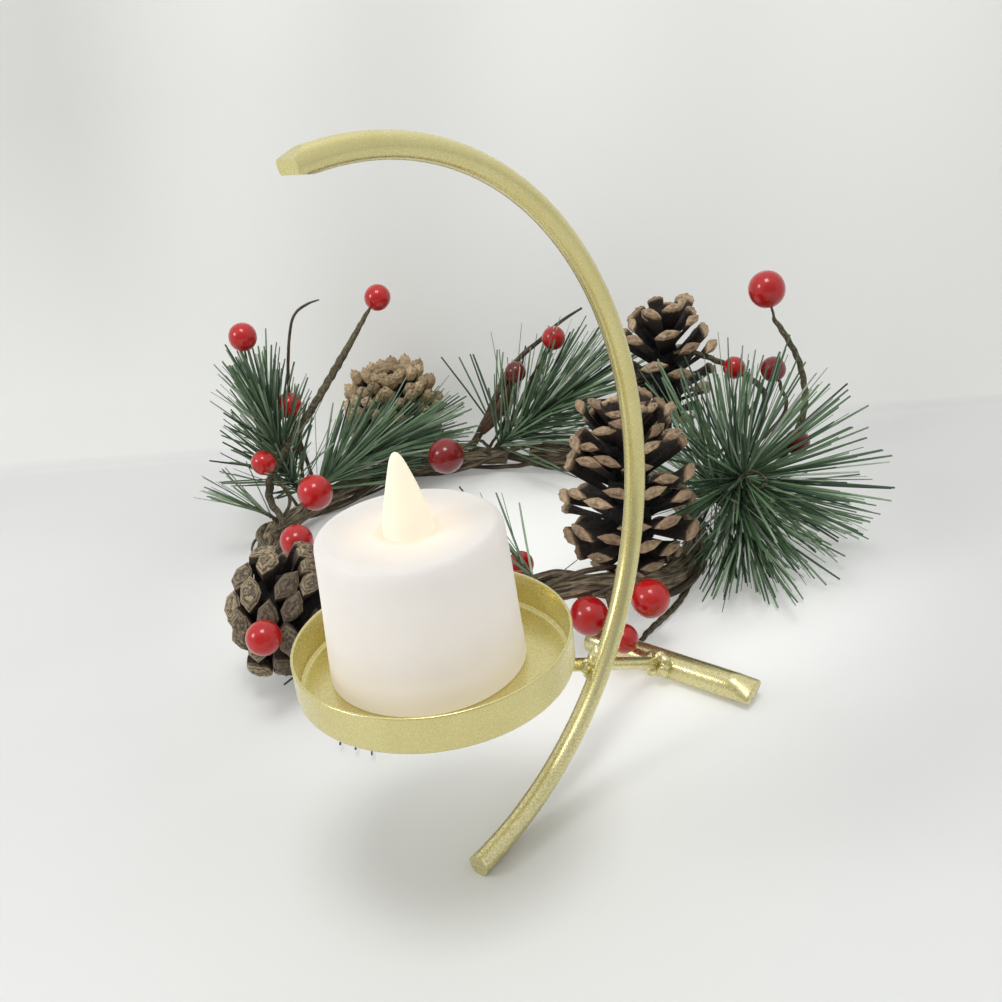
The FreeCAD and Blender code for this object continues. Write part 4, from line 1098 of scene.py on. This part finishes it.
for group, rows in berry_table.items():
    bm = bmesh.new()
    stem_bm = bmesh.new()
    for centre, radius, tone, way in rows:
        add_berry(bm, centre, radius, tone, way[0])
        aim = (Vector(way[0]) - Vector(centre)).normalized()
        points = smooth_way([Vector(centre) + aim * radius * 0.95] + way, 10)
        thick = 0.75 if len(way) < 7 else (1.7 if group == "left" else 1.15)
        radii = [0.42, 0.55, thick, thick, thick * 1.1, thick * 0.9, 0.8]
        add_tube(stem_bm, points, spread(radii, len(points)), 10, tape_ridge)
    for way, radii in loose_stems.get(group, ()):
        points = smooth_way(way, 10)
        add_tube(stem_bm, points, spread(radii, len(points)), 10, tape_ridge)
    land(bm, "red_berries_" + group, berry_red, "wreath", ["berries_" + group])
    land(stem_bm, "taped_stems_" + group, stem_tape, "wreath", ["berry_stems_" + group])

# %% [markdown]
# Three odd twigs give the wreath its wild look: a thin tendril with a hooked end, a bent twig that rises
# behind the candle, and a curl of loose reddish bark beside it.

# %% Tendril and bent twig
twig_table = [
    # name, node, way in mm, radii, steps between points, sides
    ("hooked_tendril", "tendril",
     [(134, 206, 10), (130.8, 207.7, 39), (129.6, 207.6, 58), (130.2, 205.7, 72), (132, 201.5, 89.5),
      (134.3, 198.5, 96.5), (138.5, 195, 99.5), (142.5, 192, 100.5)],
     [0.9, 0.85, 0.75, 0.7, 0.62, 0.6, 0.55, 0.25], 10, 9),
    ("bent_twig", "twig_loop",
     [(203, 176.6, 10), (209.7, 169.5, 23.4), (214.4, 165, 35), (219.7, 159.6, 48), (224.2, 153.8, 55.5),
      (229, 146.4, 62), (234.8, 138.3, 69.7), (240, 129.3, 75.6)],
     [1.7, 2.0, 1.7, 1.5, 1.2, 1.0, 0.8, 0.5], 12, 12),
]
for name, node, way, radii, steps, sides in twig_table:
    bm = bmesh.new()
    points = smooth_way(way, steps)
    add_tube(bm, points, spread(radii, len(points)), sides, thin_ridge)
    land(bm, name, thin_bark, "wreath", [node])

# %% Bark curl
curl_rows, curl_columns, curl_length = 24, 14, 0.03
bm = bmesh.new()
uv = map_layer(bm)
start, end = Vector((206.5, 168.5, 21)), Vector((217, 156, 46))
way = (end - start).normalized()
side = way.cross(Vector((0, 0, 1))).normalized()
other = way.cross(side)
rows = []
for i in range(curl_rows + 1):
    share = i / curl_rows
    width = 1.0 + 3.6 * math.sin(math.pi * (0.08 + 0.84 * share)) ** 0.8
    centre = start + (end - start) * share + other * (1.8 * math.sin(math.pi * share))
    row = []
    for k in range(curl_columns + 1):
        turn = math.radians(-125 + 250 * k / curl_columns + 25 * math.sin(4 * share))
        reach = width * (1 + 0.10 * noise.noise(Vector((k / 3.0, i / 3.0, 4.0))))
        across = side * (reach * math.sin(turn)) + other * (reach * 0.75 * math.cos(turn))
        row.append(bm.verts.new(centre + across))
    rows.append(row)
for i in range(curl_rows):
    for k in range(curl_columns):
        face = bm.faces.new((rows[i][k], rows[i][k + 1], rows[i + 1][k + 1], rows[i + 1][k]))
        for loop, u, v in zip(face.loops, (k, k + 1, k + 1, k), (i, i, i + 1, i + 1)):
            loop[uv].uv = (u / curl_columns, v / curl_rows * curl_length)
bmesh.ops.recalc_face_normals(bm, faces=bm.faces)
bmesh.ops.solidify(bm, geom=bm.faces[:], thickness=0.5)
land(bm, "loose_bark_curl", bark_skin, "wreath", ["bark_curl"])

# %% [markdown]
# Needles are thin plastic strips twisted into a wire. Each spray is a path with hundreds of needles that
# leave it at random round the wire, leaning towards its tip. The rule also asks how high a needle's root
# stands, and tilts any needle that would go through the table so that its tip stays just above it.

# %% Three needles to choose from
def needle_piece(name, bend, half_width):
    """A strip along +Z, one unit long, with three sides and a slow bend."""
    bm = bmesh.new()
    uv = map_layer(bm)
    rings = []
    steps = 4
    for i in range(steps + 1):
        share = i / steps
        half = half_width * (1.0 if i < steps else 0.75)
        shape = ((-half, 0), (0, half * 0.45), (half, 0), (0, -half * 0.25))
        rings.append([bm.verts.new((x, y + bend * share * share, share)) for x, y in shape])
    for i in range(steps):
        for k in range(4):
            n = (k + 1) % 4
            face = bm.faces.new((rings[i][k], rings[i][n], rings[i + 1][n], rings[i + 1][k]))
            for loop in face.loops:
                loop[uv].uv = (k / 4, i / steps if loop.vert in rings[i] else (i + 1) / steps)
    bm.faces.new(rings[0][::-1])
    bm.faces.new(rings[-1])
    return closed_piece(bm, name)


needle_a = needle_piece("needle_a", 0.0, 0.5)
needle_b = needle_piece("needle_b", 1.5, 0.5)
needle_c = needle_piece("needle_c", 3.6, 0.5)

# %% The spray rule
spray_rule, given, results = new_group(
    "spray_rule", "GeometryNodeTree",
    {"Geometry": ("Geometry", None), "Needles": ("Int", 100), "Length": ("Float", 50.0),
     "Width": ("Float", 0.9), "Spread at Foot": ("Float", 60.0), "Spread at Tip": ("Float", 15.0),
     "From Share": ("Float", 0.3), "Table": ("Float", 0.6), "Seed": ("Int", 1), "First": ("Object", None),
     "Second": ("Object", None), "Third": ("Object", None), "Finish": ("Material", None)},
    {"Geometry": "Geometry"})
t = spray_rule
path = add(t, "GeometryNodeMeshToCurve", {0: given["Geometry"]})
trim = add(t, "GeometryNodeTrimCurve", {"Curve": path.outputs[0]})
t.links.new(given["From Share"], trim.inputs[2])
rows = add(t, "GeometryNodeCurveToPoints", {0: trim.outputs[0], 1: given["Needles"]}, mode="COUNT")
number = add(t, "GeometryNodeInputIndex").outputs[0]
share = calc(t, "DIVIDE", number, given["Needles"])
turn = calc(t, "ADD", calc(t, "MULTIPLY", number, golden_angle), chance(t, -0.5, 0.5, given["Seed"]))
tangent, normal = rows.outputs[1], rows.outputs[2]
binormal = vector_calc(t, "CROSS_PRODUCT", tangent, normal)
radial = vector_calc(t, "ADD", stretch(t, normal, calc(t, "COSINE", turn)),
                     stretch(t, binormal, calc(t, "SINE", turn)))
spread_change = calc(t, "SUBTRACT", given["Spread at Tip"], given["Spread at Foot"])
spread_degrees = calc(t, "ADD", given["Spread at Foot"], calc(t, "MULTIPLY", share, spread_change))
spread_degrees = calc(t, "MULTIPLY", spread_degrees, chance(t, 0.45, 1.15, calc(t, "ADD", given["Seed"], 1)))
lean = calc(t, "RADIANS", spread_degrees)
aim = vector_calc(t, "ADD", stretch(t, tangent, calc(t, "COSINE", lean)),
                  stretch(t, radial, calc(t, "SINE", lean)))
length = calc(t, "MULTIPLY", given["Length"], chance(t, 0.78, 1.08, calc(t, "ADD", given["Seed"], 2)))
root_height = parts_of(t, add(t, "GeometryNodeInputPosition").outputs[0])[2]
lowest = calc(t, "DIVIDE", calc(t, "SUBTRACT", given["Table"], root_height), length)
parts = parts_of(t, aim)
aim = vector_from(t, parts[0], parts[1], calc(t, "MAXIMUM", parts[2], lowest))
length = calc(t, "MULTIPLY", length, vector_measure(t, "LENGTH", aim))
facing = add(t, "FunctionNodeAlignRotationToVector", {2: aim}, axis="Z")
spin = add(t, "FunctionNodeAxisAngleToRotation",
           {0: (0, 0, 1), 1: chance(t, -3.14, 3.14, calc(t, "ADD", given["Seed"], 4))})
facing = add(t, "FunctionNodeRotateRotation", {0: facing.outputs[0], 1: spin.outputs[0]},
             rotation_space="LOCAL")
shapes = add(t, "GeometryNodeJoinGeometry")
for socket in ("Third", "Second", "First"):
    info = add(t, "GeometryNodeObjectInfo", {0: given[socket], 1: True})
    t.links.new(info.outputs["Geometry"], shapes.inputs[0])
pick = add(t, "FunctionNodeRandomValue", {4: 0, 5: 2, 8: calc(t, "ADD", given["Seed"], 6)}, data_type="INT")
sizes = vector_from(t, given["Width"], given["Width"], length)
planted = add(t, "GeometryNodeInstanceOnPoints",
              {"Points": rows.outputs[0], "Instance": shapes.outputs[0], "Pick Instance": True,
               "Instance Index": pick.outputs[2], "Rotation": facing.outputs[0], "Scale": sizes})
finish_rule(t, planted, chance(t, 0.0, 1.0, calc(t, "ADD", given["Seed"], 8)), given["Finish"], results[0])


def path_mesh(points):
    """A row of edges through the points, for a rule to follow."""
    mesh = bpy.data.meshes.new("path")
    mesh.from_pydata(points, [(i, i + 1) for i in range(len(points) - 1)], [])
    return mesh


# %% [markdown]
# Seven bundles of needles stand in the wreath. Each is a wire of two strands, twisted together, that follows
# the same path as its needles. The low bundle on the right has no CAD node of its own, so it just rides along
# with the wreath.

# %% The sprays
spray_table = [
    # name, needles, length, width, spread at foot and tip, from share, seed, then the wire's way in mm
    ("spray_left", 260, 35, 0.92, 58, 20, 0.1, 1,
     [(126, 207, 12), (121, 207, 26), (118, 207, 42), (116, 207, 56)]),
    ("spray_left_long", 330, 42, 0.92, 40, 20, 0.1, 2,
     [(128, 206, 12), (139, 203, 18), (154, 198, 23), (169, 190, 26)]),
    ("spray_low", 20, 28, 0.85, 30, 14, 0.4, 3,
     [(104, 196, 10), (102, 198, 15), (99, 200, 19), (96, 202, 22)]),
    ("spray_back", 260, 50, 0.98, 56, 18, 0.1, 4,
     [(210, 167, 10), (214, 158, 18), (219, 146, 28), (223, 134, 36)]),
    ("spray_right", 440, 54, 0.92, 118, 45, 0.30, 5,
     [(193, 48, 10), (198, 40, 18), (198, 31, 26), (194, 24, 32)]),
    ("spray_right_low", 110, 42, 0.92, 50, 24, 0.1, 7,
     [(196, 28, 26), (190, 24, 23), (184, 20, 20), (178, 16, 17)]),
    ("spray_small", 16, 36, 0.85, 60, 16, 0.2, 6,
     [(96, 46, 25), (99, 52, 25), (103, 60, 26), (106, 66, 28)]),
]
needle_table_gap, wire_radius = 4.5, 0.5
for name, needles, length, width, foot_spread, tip_spread, from_share, seed, way in spray_table:
    points = smooth_way(way, 8)
    mesh = grow(spray_rule, path_mesh(points), needles=needles, length=float(length), width=width,
                spread_at_foot=float(foot_spread), spread_at_tip=float(tip_spread), from_share=from_share,
                table=needle_table_gap, seed=seed, first=needle_a, second=needle_b, third=needle_c,
                finish=needle_green)
    cad_nodes = [[node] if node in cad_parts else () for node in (name + "_needles", name + "_wire")]
    land(mesh, name + "_strips", needle_green, "wreath", cad_nodes[0], smooth=False)
    bm = bmesh.new()
    for phase in (0.0, math.pi):
        strand = []
        for i, point in enumerate(points):
            ahead = (points[min(i + 1, len(points) - 1)] - points[max(i - 1, 0)]).normalized()
            side = ahead.cross(Vector((0, 0, 1))).normalized()
            w = i * 1.3 + phase
            strand.append(point + side * (wire_radius * math.cos(w))
                          + ahead.cross(side) * (wire_radius * math.sin(w)))
        way = smooth_way(strand, 4)
        add_tube(bm, way, [wire_radius] * len(way), 7)
    land(bm, name + "_twisted_wire", stem_tape, "wreath", cad_nodes[1])

# %% [markdown]
# A few needles always come loose and stay caught at the foot of a spray or under a cone. Each is one thin
# strip between two points, with a slight bend.

# %% Stray needles
stray_table = [
    # start and end in mm, tone
    ((212.5, 166.9, 22.8), (209.8, 191.8, 54.5), 0.1), ((212.5, 166.9, 22.8), (215.1, 185.3, 53.6), 0.4),
    ((213.5, 166.0, 22.8), (219.0, 181.5, 54.3), 0.1), ((214.0, 165.6, 23.8), (227.8, 172.0, 54.7), 0.5),
    ((214.5, 165.4, 23.8), (229.2, 169.6, 53.5), 0.6), ((44.0, 101.0, 12.0), (30.8, 111.7, 3.2), 0.0),
    ((46.0, 102.0, 12.0), (34.5, 110.9, 3.2), 0.1), ((50.0, 94.0, 19.0), (18.2, 70.2, 3.0), 0.0),
    ((51.0, 92.0, 19.0), (19.2, 64.3, 3.0), 0.0), ((52.0, 90.0, 20.0), (20.0, 57.9, 3.0), 0.0),
]
bm = bmesh.new()
for start, end, tone in stray_table:
    start, end = Vector(start), Vector(end)
    middle = start.lerp(end, 0.5) + Vector((0, 0, 0.6))
    add_tube(bm, [start, middle, end], [0.42, 0.42, 0.34], 4, tone=tone)
land(bm, "stray_needles", needle_green, "wreath", smooth=False)

# %% [markdown]
# The set is a pale table with a greyer cloth hung close behind it. One sheet serves for both, bent sharply
# where they meet, which gives the fine line that a real table edge leaves. Its back side is clear, so that
# the object can still be looked at from behind.

# %% Table and cloth
sheet_columns, sheet_half, cloth_height = 160, 1.5, 1.3
sweep_normal = Vector((0.821, 0.571, 0.0))
sweep_side = Vector((0.571, -0.821, 0.0))
sweep_start = 0.303
bend = 0.006
profile = [(-1.4 + (1.4 + sweep_start) * i / 40, 0.0) for i in range(41)]
profile += [(sweep_start + bend * math.sin(a), bend * (1 - math.cos(a)))
            for a in (math.pi / 2 * i / 6 for i in range(1, 7))]
profile += [(sweep_start + bend + 0.05 * i / 60, bend + cloth_height * i / 60) for i in range(1, 61)]
bm = bmesh.new()
sheet_rows = []
for forward, level in profile:
    row = []
    for k in range(sheet_columns + 1):
        across = -sheet_half + 2 * sheet_half * k / sheet_columns
        fold = 0.0
        if level > bend:
            swell = min(1.0, (level - bend) / 0.20)
            fold = 0.012 * swell * (math.sin(across * 23 + 1.5 * level) + 0.7 * math.sin(across * 41 + 2.0))
        point = sweep_normal * (forward + fold) + sweep_side * across + Vector((0, 0, level))
        row.append(bm.verts.new(point))
    sheet_rows.append(row)
for low_row, high_row in zip(sheet_rows, sheet_rows[1:]):
    for k in range(sheet_columns):
        bm.faces.new((low_row[k], low_row[k + 1], high_row[k + 1], high_row[k]))
bm.normal_update()
bm.faces.ensure_lookup_table()
if bm.faces[0].normal.z < 0:
    bmesh.ops.reverse_faces(bm, faces=bm.faces)
table_mesh = to_mesh(bm, "table_and_cloth")
table_mesh.shade_smooth()
print("the sheet has", len(table_mesh.polygons), "faces")

# %% [markdown]
# The cloth carries a little painted light, but only as the camera and mirrors see it: Light Path's rays keep
# that glow off the object. The same painted light lifts the shadows on the table inside and round the wreath,
# so it doesn't go grey there. The folds to the left get less of it, which is painted shade, and the cloth's
# grey is painted a little lighter higher up.

# %% The sheet's finish
table_cloth, tree, shader = new_material("table_cloth", 0.75)
cloth = use_group(tree, mottle, {"Vector": object_place(tree), "Scale": 5.0, "Detail": 3.0,
                                 "Dark": (0.72, 0.72, 0.705, 1), "Light": (0.75, 0.75, 0.735, 1)})
level = parts_of(tree, object_place(tree))[2]
hung = ramp(tree, level, 0.002, 0.006)
# Painted light: the cloth's grey is a little lighter higher up.
cloth_grey = mix_colour(tree, ramp(tree, level, 0.05, 0.45), (0.68, 0.68, 0.655, 1), (0.71, 0.71, 0.685, 1))
tree.links.new(mix_colour(tree, hung, cloth["Color"], cloth_grey), shader.inputs["Base Color"])
rays = add(tree, "ShaderNodeLightPath").outputs
seen = calc(tree, "MAXIMUM", rays["Is Camera Ray"], rays["Is Glossy Ray"])
across = vector_measure(tree, "DOT_PRODUCT", object_place(tree), tuple(sweep_side))
# Painted shade: the cloth to the left, higher up, gets less of the painted light.
fold_shade = ramp(tree, across, -0.21, -0.07, 0.2, 1.0)
high_up = ramp(tree, level, 0.04, 0.18)
fold_shade = add(tree, "ShaderNodeMix", {0: high_up, 2: 1.0, 3: fold_shade}).outputs[0]
hung_light = calc(tree, "MULTIPLY", calc(tree, "MULTIPLY", hung, fold_shade), 0.29)
# Painted light on the table inside and round the wreath, lifting the shadows there.
inside_light = calc(tree, "MULTIPLY", glow_by_distance(tree, (0.145, 0.080, 0.0), 0.05, 0.18), 0.46)
brighter = calc(tree, "MULTIPLY", seen, calc(tree, "ADD", hung_light, inside_light))
tree.links.new(cloth_grey, shader.inputs["Emission Color"])
tree.links.new(brighter, shader.inputs["Emission Strength"])
behind = add(tree, "ShaderNodeNewGeometry").outputs["Backfacing"]
see_through = add(tree, "ShaderNodeMixShader", {0: behind, 1: shader.outputs[0],
                                                2: add(tree, "ShaderNodeBsdfTransparent").outputs[0]})
tree.links.new(see_through.outputs[0], tree.nodes["Material Output"].inputs["Surface"])
table_mesh.materials.append(table_cloth)
table = bpy.data.objects.new("table_and_cloth", table_mesh)
bpy.context.scene.collection.objects.link(table)

# %% [markdown]
# The light is a soft studio: a bright ceiling, a window to the left, and a room that is darker behind the
# camera. The dark side is what draws the dark lines along the gold rod, and without it metal looks like clay.

# %% Lights
world = bpy.data.worlds.new("studio")
bpy.context.scene.world = world
world.use_nodes = True
room = world.node_tree
direction = add(room, "ShaderNodeTexCoord").outputs["Generated"]
to_camera = vector_measure(room, "DOT_PRODUCT", direction, (-0.70, -0.70, 0.10))
dark_side = ramp(room, to_camera, 0.50, 0.90, 0.70, 0.34, "SMOOTHERSTEP")
overhead = ramp(room, parts_of(room, direction)[2], 0.2, 0.9, 0.0, 0.18)
room.nodes["Background"].inputs[0].default_value = (0.97, 0.985, 1.0, 1)
room.links.new(calc(room, "ADD", dark_side, overhead), room.nodes["Background"].inputs[1])


def lamp(name, place, aim, size, power):
    """A square lamp, size in metres and power in watts, turned towards a point."""
    data = bpy.data.lights.new(name, "AREA")
    data.size = size
    data.energy = power
    item = bpy.data.objects.new(name, data)
    item.location = place
    item.rotation_euler = (Vector(aim) - Vector(place)).to_track_quat("-Z", "Y").to_euler()
    bpy.context.scene.collection.objects.link(item)


lamp("ceiling_light", (-0.15, -0.15, 1.1), (0.1, 0.1, 0.0), 0.36, 4.0)
lamp("window_light", (-0.78, 0.55, 0.62), (0.1, 0.1, 0.05), 0.30, 2.6)
